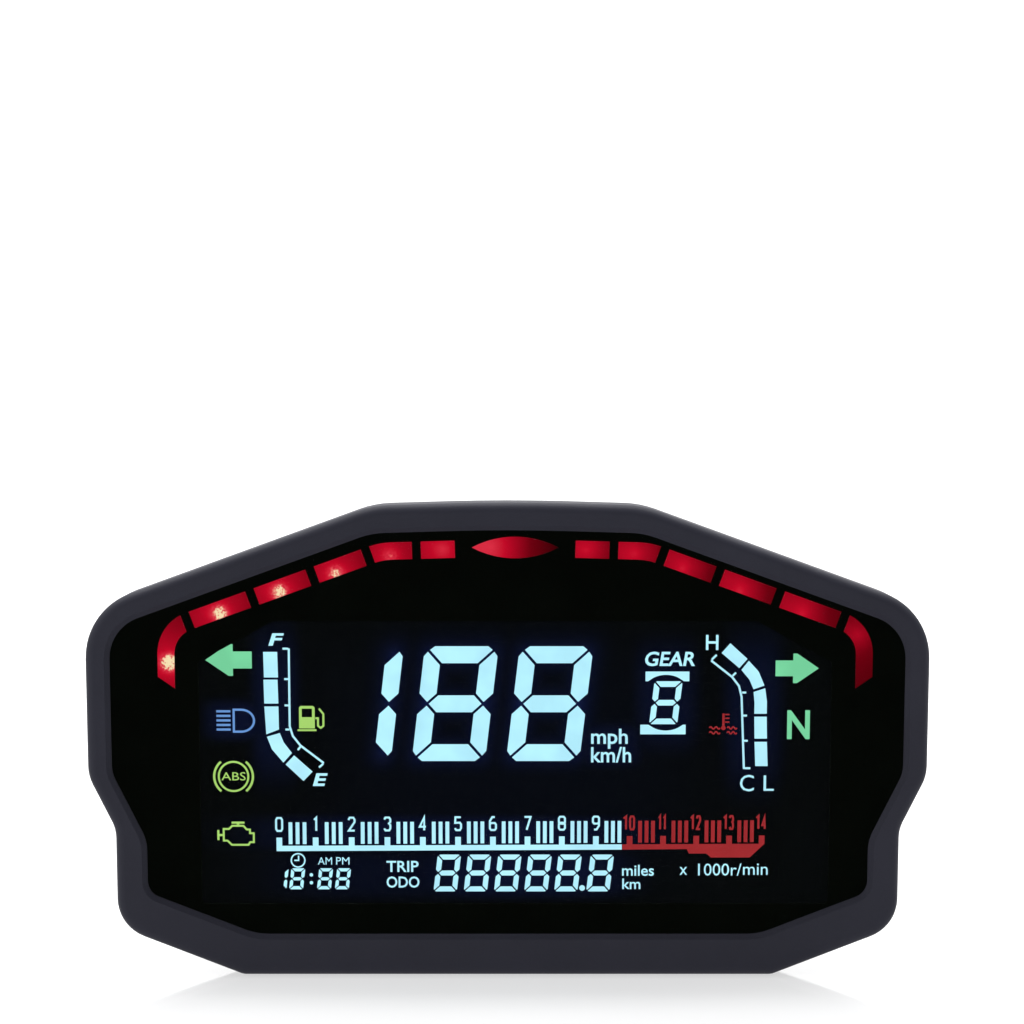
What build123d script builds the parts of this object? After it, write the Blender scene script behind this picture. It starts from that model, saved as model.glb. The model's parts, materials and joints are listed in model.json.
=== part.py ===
"""Motorcycle instrument cluster: a sealed case with a backlit LCD, a red shift-light band and two rear keys.

The case faces -Y, +X is to the rider's right and +Z is up.  The origin is the centre of the three mounting
studs, on the plane where the rubber isolators meet the bracket.  Every depth below is a distance forward of
that plane, so a sketch at depth d lies on Plane.XZ.offset(d) and a positive extrusion comes towards the
rider.
"""
import os
from math import hypot

from build123d import *

# ---------------------------------------------------------------- case outline, seen from the front
case_width = 155.0
case_height = 88.0
crown_half_width = 24.6     # half of the gently arched top edge
crown_rise = 0.7            # how far the middle of the top edge stands above its ends
shoulder_drop = 19.8        # from the crown down to the upper end of each side
notch_top_rise = 37.5       # from the foot up to where each side turns inwards
notch_bottom_rise = 27.5    # from the foot up to where it turns down again
notch_depth = 4.9           # how much narrower the case is below the notch, each side
foot_rise = 9.1             # from the foot up to the lower corner of each side
foot_half_width = 49.3
crown_radius = 400.0
top_corner_radius = 19.0
shoulder_radius = 12.8
notch_top_radius = 8.0
notch_bottom_radius = 6.8
foot_side_radius = 7.7
foot_radius = 2.6
least_radius = 0.8          # no corner of an inner outline is sharper than this

# ---------------------------------------------------------------- width of the bezel's face along each edge
rim_top = 5.05
rim_slant = 4.7
rim_side = 4.5
rim_notch = 4.3
rim_foot_side = 5.8
rim_foot_slant = 8.2
rim_bottom = 7.8
window_top_radius = 15.0
window_shoulder_radius = 8.0
window_notch_top_radius = 6.0
window_notch_bottom_radius = 8.0
window_foot_side_radius = 3.2
window_foot_radius = 12.0

# ---------------------------------------------------------------- depths and walls
case_depth = 31.0           # mounting plane to the bezel's face
isolator_height = 2.5
boss_proud = 2.5            # a stud boss stands this far behind the back wall
wall = 2.2
lip_thickness = 1.2         # the bezel's face, in front of the lens
bezel_edge_radius = 1.8
window_bevel = 0.9
flange_thickness = 2.0      # rear housing's rim, behind the bezel
flange_step = 0.4           # the rim is this much smaller than the bezel
bowl_inset = 6.5            # from the case outline in to the rear housing's side wall
bowl_draft = 5.0            # degrees
bowl_edge_radius = 3.0
cavity_fit = 0.3            # lens, mask and board inside the bezel
gasket_thickness = 0.3
gasket_show = 0.5           # the lens gasket stops this far outside the window
lens_thickness = 2.0
mask_thickness = 0.5
board_thickness = 1.6

# ---------------------------------------------------------------- display
display_offset = 1.4        # display centre, right of the case centre
lcd_half_width = 58.5       # visible area, from the display centre
lcd_bottom_rise = 13.0      # from the foot up to the visible area
lcd_height = 53.0
lcd_chamfer_width = 14.0
lcd_chamfer_height = 7.6
lcd_corner_radius = 0.8
glass_margin = 1.2          # glass beyond the visible area
glass_thickness = 0.8
polariser_thickness = 0.2
ledge_half_width = 30.0     # contact ledge along the top of the front glass
ledge_height = 2.4
sheet_thickness = 0.3       # diffuser and reflector sheets
guide_thickness = 2.0
frame_floor = 0.8
frame_wall = 1.0
frame_fit = 0.1
strip_width = 1.5           # elastomer contact strip
led_bar_width = 1.2
led_bar_length = 34.0

# ---------------------------------------------------------------- shift-light band
band_width = 3.2
band_inset_top = 3.45       # window edge to the band's centre line
band_inset_slant = 3.3
band_inset_side = 8.6
band_top_radius = 12.0
band_shoulder_radius = 6.5
band_start = 11.05          # inner end of the first window beside the middle one
band_gap = 1.6
band_gap_centres = [18.1, 27.0, 37.2, 48.3, 60.3]
band_end_rise = 53.4        # pointed lower tip of the corner windows, above the foot
band_end_slope = 35.0       # degrees from level
middle_window_width = 16.0
middle_window_height = 4.0
diffuser_fit = 0.1
diffuser_flange = 0.5
flange_depth = 1.0
shift_led_stations = [0.0, 14.3, 22.4, 32.2, 42.7, 54.3]
corner_led_rise = 58.5
shift_led_side = 1.6
shift_led_height = 0.8

# ---------------------------------------------------------------- fasteners
screw_radius = 1.25
screw_reach = 5.0           # thread in the bezel
screw_head_radius = 2.5
screw_head_height = 1.6
screw_recess_radius = 1.3
screw_recess_depth = 0.9
screw_inset = 3.4           # screw axis from the case outline
screw_boss_radius = 2.2
screw_boss_height = 5.9
screw_clearance = 0.2
boss_clearance = 0.1        # light box to a screw boss
screw_top_half_spacing = 15.0
screw_bottom_half_spacing = 30.0
slant_screw_share = 0.55    # how far along its edge a screw stands
side_screw_share = 0.5
seal_width = 1.0
seal_inset = 0.8
seal_height = 1.0
board_screw_x = 66.2
board_screw_rise = 43.0     # above the foot
board_screw_radius = 1.0
board_screw_length = 6.0
board_screw_head_radius = 2.0
board_screw_head_height = 1.2
board_post_radius = 2.6

# ---------------------------------------------------------------- mounting studs
stud_circle = 58.0          # diameter of the circle that the three studs stand on
stud_count = 3
stud_radius = 3.0
stud_reach = 16.0           # behind the mounting plane
stud_shoulder_radius = 3.5  # plain shank, pressed into the insert and passing through the isolator
shoulder_recess = 0.05      # the shank stops this far inside the isolator
stud_engagement = 8.5       # forward of the boss face
stud_chamfer = 0.8
insert_radius = 4.5
insert_length = 9.0
thread_fit = 0.03
boss_radius = 9.0
inner_boss_radius = 7.0
inner_boss_end = 1.0        # plastic left in front of an insert
isolator_radius = 8.0
isolator_fit = 0.3
boss_rib_width = 1.6

# ---------------------------------------------------------------- rear buttons
button_x = 50.0
button_z = 4.0
button_radius = 6.0
button_fit = 0.05
button_proud = 1.2          # key beyond its collar
button_edge_radius = 0.8
button_flange = 1.2         # retaining flange, beyond the key
button_flange_thickness = 1.0
plunger_radius = 2.0
collar_wall = 3.0           # outside the key
collar_proud = 2.8
ring_width = 1.2            # square-section sealing ring, radially
ring_height = 1.5
ring_depth = 1.2            # from the collar's rear face to the ring
switch_side = 6.0
switch_height = 3.5
switch_corner_radius = 0.5
stem_radius = 1.7
stem_proud = 1.2
stem_hole_depth = 2.0
stem_engagement = 1.0

# ---------------------------------------------------------------- connector, vent
socket_z = -25.0
socket_width = 24.4
socket_height = 9.4
socket_wall = 1.8
socket_depth = 10.0
socket_floor = 1.5
socket_proud = 4.0
socket_radius = 1.4
socket_flange = 2.0
socket_flange_thickness = 1.5
socket_seal = 0.8
socket_fit = 0.1
pin_columns = 6
pin_rows = 2
pin_pitch = 3.5
pin_row_pitch = 3.5
pin_side = 0.8
pin_length = 5.0
pin_hole_fit = 0.1
key_rib_width = 1.2
key_rib_height = 0.8
vent_x = 44.0
vent_z = -17.0
vent_cap_radius = 5.0
vent_cap_height = 1.5
vent_stem_radius = 2.4
vent_bore_radius = 1.5
vent_snap = 0.4
vent_snap_height = 0.8
membrane_thickness = 0.2

# ---------------------------------------------------------------- parts on the board's rear face
chip_side = 14.0
chip_height = 1.5
chip_x, chip_z = -20.0, 8.0
driver_side = 10.0
driver_x, driver_z = 18.0, 12.0
lead_pitch = 1.0
lead_width = 0.4
lead_length = 1.0
lead_thickness = 0.2
regulator_x, regulator_z = 36.0, -4.0
regulator_width = 6.6
regulator_length = 6.1
regulator_height = 2.3
regulator_tab = (5.4, 2.4)
regulator_tab_rise = 4.0
regulator_lead = (0.8, 3.0)
regulator_lead_pitch = 4.6
regulator_lead_drop = 4.2
regulator_metal = 0.5
capacitor_radius = 3.15
capacitor_height = 5.4
capacitor_base_margin = 0.15
capacitor_base_height = 1.0
capacitor_places = [(-40.0, -10.0), (-40.0, -18.0), (34.0, 14.0)]
crystal_x, crystal_z = -4.0, 10.0
crystal_length = 11.0
crystal_width = 4.6
crystal_height = 3.4
resistor_grid = (4, 3)
resistor_pitch = 3.2
resistor_face = (2.0, 1.25)
resistor_height = 0.55
resistor_x, resistor_z = 2.0, -4.0

# ---------------------------------------------------------------- the depth stack, from the face backwards
lip_rear = case_depth - lip_thickness
lens_front = lip_rear - gasket_thickness
lens_rear = lens_front - lens_thickness
mask_rear = lens_rear - mask_thickness
front_glass_front = mask_rear - polariser_thickness
front_glass_rear = front_glass_front - glass_thickness
rear_glass_rear = front_glass_rear - glass_thickness
diffuser_sheet_front = rear_glass_rear - polariser_thickness
guide_front = diffuser_sheet_front - sheet_thickness
guide_rear = guide_front - guide_thickness
reflector_rear = guide_rear - sheet_thickness
board_front = reflector_rear - frame_floor
board_rear = board_front - board_thickness
split = board_rear                          # where bezel and rear housing meet
housing_rim_rear = split - flange_thickness
boss_face = isolator_height
back_outer = boss_face + boss_proud
back_inner = back_outer + wall
diffuser_rear = mask_rear - flange_depth

# ---------------------------------------------------------------- outlines
top = case_height / 2
foot = -case_height / 2
right_corners = [
    (crown_half_width, top - crown_rise),
    (case_width / 2, top - shoulder_drop),
    (case_width / 2, foot + notch_top_rise),
    (case_width / 2 - notch_depth, foot + notch_bottom_rise),
    (case_width / 2 - notch_depth, foot + foot_rise),
    (foot_half_width, foot),
]
right_radii = [
    top_corner_radius,
    shoulder_radius,
    notch_top_radius,
    -notch_bottom_radius,   # the one hollow corner
    foot_side_radius,
    foot_radius,
]
window_right_radii = [
    window_top_radius,
    window_shoulder_radius,
    window_notch_top_radius,
    window_notch_bottom_radius,
    window_foot_side_radius,
    window_foot_radius,
]
rim_right = [rim_top, rim_slant, rim_side, rim_notch, rim_foot_side, rim_foot_slant]


def both_sides(middle, right_half):
    """A value on the centre line, the right half's values, and the same values back up the left."""
    return middle + right_half + right_half[::-1]


def all_corners(right_half):
    """Every corner of a closed outline that is the same left and right, clockwise from the crown."""
    return [(0, top)] + right_half + [(-x, z) for x, z in reversed(right_half)]


def moved_in(corners, bands):
    """Corners of the outline whose edges lie inside the given ones, each by its own band."""
    lines = []
    for (x1, z1), (x2, z2), band in zip(corners, corners[1:] + corners[:1], bands):
        length = hypot(x2 - x1, z2 - z1)
        normal = ((z2 - z1) / length, -(x2 - x1) / length)
        lines.append((normal, normal[0] * x1 + normal[1] * z1 + band))
    moved = []
    for (n1, c1), (n2, c2) in zip(lines[-1:] + lines[:-1], lines):
        determinant = n1[0] * n2[1] - n1[1] * n2[0]
        x = (c1 * n2[1] - c2 * n1[1]) / determinant
        z = (n1[0] * c2 - n2[0] * c1) / determinant
        moved.append((x, z))
    return moved


def rounded(corners, radii):
    """A face with the given corners and corner radii."""
    with BuildSketch() as face:
        with BuildLine():
            FilletPolyline(*corners, radius=radii, close=True)
        make_face()
    return face.sketch


def case_face(inset=0.0):
    """The case outline, every edge moved in by one distance."""
    corners = moved_in(case_corners, [inset] * len(case_corners))
    radii = [crown_radius - inset]
    for radius in right_radii + right_radii[::-1]:
        radii.append(max(abs(radius - inset), least_radius))
    return rounded(corners, radii)


def window_face(grow=0.0):
    """The opening in the bezel's face."""
    bands = rim_right + [rim_bottom] + rim_right[::-1]
    corners = moved_in(case_corners, [band - grow for band in bands])
    return rounded(corners, both_sides([crown_radius], window_right_radii))


case_corners = all_corners(right_corners)
window_corners = moved_in(case_corners, rim_right + [rim_bottom] + rim_right[::-1])


# ---------------------------------------------------------------- the shift-light band's centre line
band_right = [band_inset_top, band_inset_slant, band_inset_side]
lower_edges = len(window_corners) - 2 * len(band_right)
band_insets = band_right + [band_inset_side] * lower_edges + band_right[::-1]
band_corners = moved_in(window_corners, band_insets)
band_crown = band_corners[0]
band_top_corner = band_corners[1]
band_shoulder = band_corners[2]
band_tip = foot + band_end_rise


def band_height(x):
    """Height of the band's centre line at a distance from the display centre."""
    start, end = (band_crown, band_top_corner) if x < band_top_corner[0] else (band_top_corner, band_shoulder)
    share = (x - start[0]) / (end[0] - start[0])
    return start[1] + share * (end[1] - start[1])


def band_slope(x):
    """Slope of the band's centre line, in degrees."""
    start, end = (band_crown, band_top_corner) if x < band_top_corner[0] else (band_top_corner, band_shoulder)
    return Vector(end[0] - start[0], end[1] - start[1], 0).get_signed_angle(Vector(1, 0, 0), Vector(0, 0, -1))


def band_windows(grow=0.0):
    """The thirteen windows about the display centre, each grown all round, from left to right."""
    with BuildSketch() as right_side:
        with BuildLine():
            start = band_start - grow
            FilletPolyline(
                (start, band_height(start)),
                band_top_corner,
                band_shoulder,
                (band_shoulder[0], band_tip - band_width),
                radius=[band_top_radius, band_shoulder_radius],
            )
        trace(line_width=band_width + 2 * grow)
        for x in band_gap_centres:
            with Locations(Location((x, band_height(x), 0), (0, 0, band_slope(x)))):
                Rectangle(band_gap - 2 * grow, 3 * band_width, mode=Mode.SUBTRACT)
        tip_x = band_shoulder[0] - band_width / 2
        with Locations(Location((tip_x, band_tip - grow, 0), (0, 0, band_end_slope))):
            Rectangle(6 * band_width, 3 * band_width, align=(Align.CENTER, Align.MAX), mode=Mode.SUBTRACT)
    with BuildSketch() as windows:
        add(right_side.sketch)
        mirror(about=Plane.YZ)
        with BuildLine():
            half = middle_window_width / 2 + grow
            lift = middle_window_height / 2 + grow
            ThreePointArc((-half, band_crown[1]), (0, band_crown[1] + lift), (half, band_crown[1]))
            ThreePointArc((half, band_crown[1]), (0, band_crown[1] - lift), (-half, band_crown[1]))
        make_face()
    return windows.sketch.faces().sort_by(Axis.X)


def lcd_face(grow=0.0):
    """The display's visible area about the display centre, grown all round."""
    low = foot + lcd_bottom_rise
    high = low + lcd_height
    corners = [
        (lcd_half_width - lcd_chamfer_width, high),
        (lcd_half_width, high - lcd_chamfer_height),
        (lcd_half_width, low),
        (-lcd_half_width, low),
        (-lcd_half_width, high - lcd_chamfer_height),
        (lcd_chamfer_width - lcd_half_width, high),
    ]
    return rounded(moved_in(corners, [-grow] * len(corners)), lcd_corner_radius)


display_plane = Plane.XZ.shift_origin((display_offset, 0, 0))
stud_places = PolarLocations(stud_circle / 2, stud_count, start_angle=90)
stud_points = [(place.position.X, place.position.Y) for place in stud_places.local_locations]


def edge_point(share, start, end):
    """A point on the line between two outline corners, moved in to the screws' line."""
    x1, z1 = start
    x2, z2 = end
    length = hypot(x2 - x1, z2 - z1)
    x = x1 + share * (x2 - x1) + screw_inset * (z2 - z1) / length
    z = z1 + share * (z2 - z1) - screw_inset * (x2 - x1) / length
    return (x, z)


half_screws = [
    (screw_top_half_spacing, top - crown_rise * screw_top_half_spacing / crown_half_width - screw_inset),
    edge_point(slant_screw_share, right_corners[0], right_corners[1]),
    edge_point(side_screw_share, right_corners[1], right_corners[2]),
    (screw_bottom_half_spacing, foot + screw_inset),
]
screw_points = half_screws + [(-x, z) for x, z in half_screws]
board_screw_z = foot + board_screw_rise
board_screw_points = [(board_screw_x, board_screw_z), (-board_screw_x, board_screw_z)]
button_points = {"left": (-button_x, button_z), "right": (button_x, button_z)}

os.makedirs("parts", exist_ok=True)


def save(piece, name):
    """Label a finished piece and write it to its own file."""
    piece.label = name
    export_step(piece, f"parts/{name}.step")


# ================================================================ case
with BuildPart() as front_bezel:
    with BuildSketch(Plane.XZ.offset(split)):
        add(case_face())
    extrude(amount=case_depth - split)
    face_edges = front_bezel.faces().sort_by(Axis.Y)[0].edges()
    fillet(face_edges, bezel_edge_radius)
    with BuildSketch(Plane.XZ.offset(split)):
        add(case_face(wall))
    extrude(amount=lip_rear - split, mode=Mode.SUBTRACT)
    with BuildSketch(Plane.XZ.offset(split)):
        add(window_face())
    extrude(amount=case_depth - split, mode=Mode.SUBTRACT)
    with BuildSketch(Plane.XZ.offset(split)):
        with Locations(*screw_points):
            Circle(screw_boss_radius)
    extrude(amount=screw_boss_height)
    with BuildSketch(Plane.XZ.offset(split)):
        with Locations(*screw_points):
            Circle(screw_radius + thread_fit)
    extrude(amount=screw_reach + screw_clearance, mode=Mode.SUBTRACT)
    window_edges = front_bezel.faces().sort_by(Axis.Y)[0].inner_wires()[0].edges()
    chamfer(window_edges, window_bevel)
save(front_bezel.part, "front_bezel")

bowl_depth = housing_rim_rear - back_outer
cavity_depth = split - back_inner
with BuildPart() as rear_housing:
    with BuildSketch(Plane.XZ.offset(housing_rim_rear)):
        add(case_face(flange_step))
    extrude(amount=flange_thickness)
    with BuildSketch(Plane.XZ.offset(housing_rim_rear)):
        add(case_face(bowl_inset))
    extrude(amount=-bowl_depth, taper=bowl_draft)
    back_edges = rear_housing.faces().sort_by(Axis.Y)[-1].edges()
    fillet(back_edges, bowl_edge_radius)
    with BuildSketch(Plane.XZ.offset(split)):
        add(case_face(bowl_inset + wall))
    extrude(amount=-cavity_depth, taper=bowl_draft, mode=Mode.SUBTRACT)
    # bosses, collars and posts
    with BuildSketch(Plane.XZ.offset(boss_face)):
        with Locations(*stud_points):
            Circle(boss_radius)
    extrude(amount=boss_proud)
    with BuildSketch(Plane.XZ.offset(back_outer - boss_proud / 2)):
        for x, z in stud_points:
            with BuildLine():
                Line((0, 0), (x, z))
            trace(line_width=boss_rib_width)
    extrude(amount=boss_proud / 2)
    with BuildSketch(Plane.XZ.offset(back_inner)):
        with Locations(*stud_points):
            Circle(inner_boss_radius)
    extrude(amount=boss_face + insert_length + inner_boss_end - back_inner)
    with BuildSketch(Plane.XZ.offset(back_outer - collar_proud)):
        with Locations(*button_points.values()):
            Circle(button_radius + collar_wall)
    extrude(amount=collar_proud)
    with BuildSketch(Plane.XZ.offset(back_inner)):
        with Locations(*board_screw_points):
            Circle(board_post_radius)
    extrude(amount=board_rear - back_inner)
    # holes
    with BuildSketch(Plane.XZ.offset(boss_face)):
        with Locations(*stud_points):
            Circle(insert_radius)
    extrude(amount=insert_length, mode=Mode.SUBTRACT)
    with BuildSketch(Plane.XZ.offset(back_outer - collar_proud)):
        with Locations(*button_points.values()):
            Circle(button_radius + button_fit)
    extrude(amount=back_inner - back_outer + collar_proud, mode=Mode.SUBTRACT)
    with BuildSketch(Plane.XZ.offset(back_outer - collar_proud + ring_depth)):
        with Locations(*button_points.values()):
            Circle(button_radius + button_fit + ring_width)
    extrude(amount=ring_height, mode=Mode.SUBTRACT)
    with BuildSketch(Plane.XZ.offset(back_outer)):
        with Locations((0, socket_z)):
            RectangleRounded(
                socket_width + 2 * (socket_wall + socket_fit),
                socket_height + 2 * (socket_wall + socket_fit),
                socket_radius + socket_wall,
            )
        with Locations((vent_x, vent_z)):
            Circle(vent_stem_radius)
    extrude(amount=wall, mode=Mode.SUBTRACT)
    with BuildSketch(Plane.XZ.offset(board_rear)):
        with Locations(*board_screw_points):
            Circle(board_screw_radius + thread_fit)
    extrude(amount=-board_screw_length, mode=Mode.SUBTRACT)
    with BuildSketch(Plane.XZ.offset(housing_rim_rear)):
        with Locations(*screw_points):
            Circle(screw_radius + screw_clearance)
    extrude(amount=flange_thickness, mode=Mode.SUBTRACT)
    with BuildSketch(Plane.XZ.offset(split)):
        add(case_face(seal_inset))
        add(case_face(seal_inset + seal_width), mode=Mode.SUBTRACT)
    extrude(amount=-seal_height, mode=Mode.SUBTRACT)
save(rear_housing.part, "rear_housing")

with BuildPart() as housing_seal:
    with BuildSketch(Plane.XZ.offset(split)):
        add(case_face(seal_inset))
        add(case_face(seal_inset + seal_width), mode=Mode.SUBTRACT)
    extrude(amount=-seal_height)
save(housing_seal.part, "housing_seal")

with BuildPart() as housing_screws:
    with BuildSketch(Plane.XZ.offset(housing_rim_rear)):
        with Locations(*screw_points):
            Circle(screw_head_radius)
    extrude(amount=-screw_head_height)
    with BuildSketch(Plane.XZ.offset(housing_rim_rear)):
        with Locations(*screw_points):
            Circle(screw_radius)
    extrude(amount=flange_thickness + screw_reach)
    with BuildSketch(Plane.XZ.offset(housing_rim_rear - screw_head_height)):
        with Locations(*screw_points):
            Rectangle(2 * screw_recess_radius, screw_recess_radius / 2)
            Rectangle(screw_recess_radius / 2, 2 * screw_recess_radius)
    extrude(amount=screw_recess_depth, mode=Mode.SUBTRACT)
save(housing_screws.part, "housing_screws")

# ================================================================ window
with BuildPart() as lens_gasket:
    with BuildSketch(Plane.XZ.offset(lens_front)):
        add(case_face(wall + cavity_fit))
        add(window_face(gasket_show), mode=Mode.SUBTRACT)
    extrude(amount=gasket_thickness)
save(lens_gasket.part, "lens_gasket")

with BuildPart() as window_lens:
    with BuildSketch(Plane.XZ.offset(lens_rear)):
        add(case_face(wall + cavity_fit))
    extrude(amount=lens_thickness)
save(window_lens.part, "window_lens")

with BuildPart() as face_mask:
    with BuildSketch(Plane.XZ.offset(mask_rear)):
        add(case_face(wall + cavity_fit))
    extrude(amount=mask_thickness)
    with BuildSketch(display_plane.offset(mask_rear)):
        add(band_windows())
        add(lcd_face())
    extrude(amount=mask_thickness, mode=Mode.SUBTRACT)
save(face_mask.part, "face_mask")

# ================================================================ shift lights
window_parts = band_windows(-diffuser_fit)
flange_parts = band_windows(diffuser_flange)
for number, (window_part, flange_part) in enumerate(zip(window_parts, flange_parts), start=1):
    with BuildPart() as shift_diffuser:
        with BuildSketch(display_plane.offset(diffuser_rear)):
            add(flange_part)
        extrude(amount=flange_depth)
        with BuildSketch(display_plane.offset(mask_rear)):
            add(window_part)
        extrude(amount=mask_thickness)
    save(shift_diffuser.part, f"shift_diffuser_{number:02d}")

with BuildPart() as light_box:
    with BuildSketch(display_plane.offset(board_front)):
        with BuildLine():
            FilletPolyline(
                (-band_shoulder[0], band_tip),
                (-band_shoulder[0], band_shoulder[1]),
                (-band_top_corner[0], band_top_corner[1]),
                band_crown,
                band_top_corner,
                band_shoulder,
                (band_shoulder[0], band_tip),
                radius=[
                    band_shoulder_radius,
                    band_top_radius,
                    crown_radius,
                    band_top_radius,
                    band_shoulder_radius,
                ],
            )
        trace(line_width=band_width + 2 * diffuser_flange)
        add(band_windows(diffuser_flange))
    extrude(amount=diffuser_rear - board_front)
    with BuildSketch(display_plane.offset(board_front)):
        add(band_windows())
    extrude(amount=diffuser_rear - board_front, mode=Mode.SUBTRACT)
    with BuildSketch(Plane.XZ.offset(board_front)):
        with Locations(*screw_points):
            Circle(screw_boss_radius + boss_clearance)
    extrude(amount=diffuser_rear - board_front, mode=Mode.SUBTRACT)
save(light_box.part, "light_box")

led_points = []
for x in shift_led_stations:
    led_points.append((x, band_height(x)))
led_points.append((band_shoulder[0], foot + corner_led_rise))
led_points += [(-x, z) for x, z in led_points if x > 0]
with BuildPart() as shift_leds:
    with BuildSketch(display_plane.offset(board_front)):
        with Locations(*led_points):
            Rectangle(shift_led_side, shift_led_side)
    extrude(amount=shift_led_height)
save(shift_leds.part, "shift_leds")

# ================================================================ display stack
glass_top = foot + lcd_bottom_rise + lcd_height + glass_margin


def add_plate(depth, thickness, grow, name):
    """One flat plate of the display stack, cut to the visible area grown all round."""
    with BuildPart() as plate:
        with BuildSketch(display_plane.offset(depth)):
            add(lcd_face(grow))
        extrude(amount=thickness)
    save(plate.part, name)


add_plate(front_glass_front, polariser_thickness, glass_margin, "lcd_front_polariser")
add_plate(front_glass_rear - glass_thickness, glass_thickness, glass_margin, "lcd_rear_glass")
add_plate(diffuser_sheet_front, polariser_thickness, glass_margin, "lcd_rear_polariser")
add_plate(guide_front, sheet_thickness, glass_margin, "diffuser_sheet")
add_plate(reflector_rear, sheet_thickness, glass_margin, "reflector_sheet")

with BuildPart() as lcd_front_glass:
    with BuildSketch(display_plane.offset(front_glass_rear)):
        add(lcd_face(glass_margin))
        with Locations((0, glass_top)):
            Rectangle(2 * ledge_half_width, 2 * ledge_height)
    extrude(amount=glass_thickness)
save(lcd_front_glass.part, "lcd_front_glass")

bar_x = lcd_half_width + glass_margin - led_bar_width / 2
bar_z = foot + lcd_bottom_rise + lcd_height / 2 - lcd_chamfer_height / 2
with BuildPart() as light_guide:
    with BuildSketch(display_plane.offset(guide_rear)):
        add(lcd_face(glass_margin))
        with Locations((-bar_x, bar_z), (bar_x, bar_z)):
            Rectangle(led_bar_width, led_bar_length, mode=Mode.SUBTRACT)
    extrude(amount=guide_thickness)
save(light_guide.part, "light_guide")

for side, x in {"left": -bar_x, "right": bar_x}.items():
    with BuildPart() as backlight_bar:
        with BuildSketch(display_plane.offset(guide_rear)):
            with Locations((x, bar_z)):
                Rectangle(led_bar_width, led_bar_length)
        extrude(amount=guide_thickness)
    save(backlight_bar.part, f"backlight_bar_{side}")

strip_z = glass_top + frame_fit + strip_width / 2
frame_grow = glass_margin + frame_fit
with BuildPart() as lcd_frame:
    with BuildSketch(display_plane.offset(board_front)):
        add(lcd_face(frame_grow + frame_wall))
        with Locations((0, glass_top)):
            Rectangle(
                2 * (ledge_half_width + frame_fit + frame_wall),
                2 * (ledge_height + frame_fit + frame_wall),
            )
    extrude(amount=mask_rear - board_front)
    with BuildSketch(display_plane.offset(reflector_rear)):
        add(lcd_face(frame_grow))
    extrude(amount=mask_rear - reflector_rear, mode=Mode.SUBTRACT)
    with BuildSketch(display_plane.offset(front_glass_rear)):
        with Locations((0, glass_top)):
            Rectangle(2 * (ledge_half_width + frame_fit), 2 * (ledge_height + frame_fit))
    extrude(amount=mask_rear - front_glass_rear, mode=Mode.SUBTRACT)
    with BuildSketch(display_plane.offset(board_front)):
        with Locations((0, strip_z)):
            Rectangle(2 * ledge_half_width, strip_width)
    extrude(amount=front_glass_rear - board_front, mode=Mode.SUBTRACT)
save(lcd_frame.part, "lcd_frame")

with BuildPart() as contact_strip:
    with BuildSketch(display_plane.offset(board_front)):
        with Locations((0, strip_z)):
            Rectangle(2 * ledge_half_width, strip_width)
    extrude(amount=front_glass_rear - board_front)
save(contact_strip.part, "contact_strip")

# ================================================================ board
with BuildPart() as main_board:
    with BuildSketch(Plane.XZ.offset(board_rear)):
        add(case_face(wall + cavity_fit))
        with Locations(*screw_points):
            Circle(screw_boss_radius + cavity_fit, mode=Mode.SUBTRACT)
        with Locations(*board_screw_points):
            Circle(board_screw_radius + screw_clearance, mode=Mode.SUBTRACT)
        with Locations((0, socket_z)):
            with GridLocations(pin_pitch, pin_row_pitch, pin_columns, pin_rows):
                Rectangle(pin_side + 2 * pin_hole_fit, pin_side + 2 * pin_hole_fit, mode=Mode.SUBTRACT)
    extrude(amount=board_thickness)
save(main_board.part, "main_board")

with BuildPart() as board_screws:
    with BuildSketch(Plane.XZ.offset(board_front)):
        with Locations(*board_screw_points):
            Circle(board_screw_head_radius)
    extrude(amount=board_screw_head_height)
    with BuildSketch(Plane.XZ.offset(board_front)):
        with Locations(*board_screw_points):
            Circle(board_screw_radius)
    extrude(amount=-board_thickness - board_screw_length + thread_fit)
save(board_screws.part, "board_screws")


def save_chip(name, x, z, side, height):
    """A flat square chip on the board's rear face, with leads along all four edges."""
    leads = int((side - 2 * lead_pitch) / lead_pitch)
    with BuildPart() as chip:
        with BuildSketch(Plane.XZ.offset(board_rear - lead_thickness)):
            with Locations((x, z)):
                Rectangle(side, side)
        extrude(amount=-height)
        with BuildSketch(Plane.XZ.offset(board_rear)):
            with Locations((x, z)):
                with GridLocations(lead_pitch, side + lead_length, leads, 2):
                    Rectangle(lead_width, 2 * lead_length)
                with GridLocations(side + lead_length, lead_pitch, 2, leads):
                    Rectangle(2 * lead_length, lead_width)
        extrude(amount=-2 * lead_thickness)
    save(chip.part, name)


save_chip("microcontroller", chip_x, chip_z, chip_side, chip_height)
save_chip("lcd_driver", driver_x, driver_z, driver_side, chip_height)

with BuildPart() as voltage_regulator:
    with BuildSketch(Plane.XZ.offset(board_rear)):
        with Locations((regulator_x, regulator_z)):
            Rectangle(regulator_width, regulator_length)
    extrude(amount=-regulator_height)
    with BuildSketch(Plane.XZ.offset(board_rear)):
        with Locations((regulator_x, regulator_z + regulator_tab_rise)):
            Rectangle(*regulator_tab)
        with Locations((regulator_x, regulator_z - regulator_lead_drop)):
            with GridLocations(regulator_lead_pitch, 0, 2, 1):
                Rectangle(*regulator_lead)
    extrude(amount=-regulator_metal)
save(voltage_regulator.part, "voltage_regulator")

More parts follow.
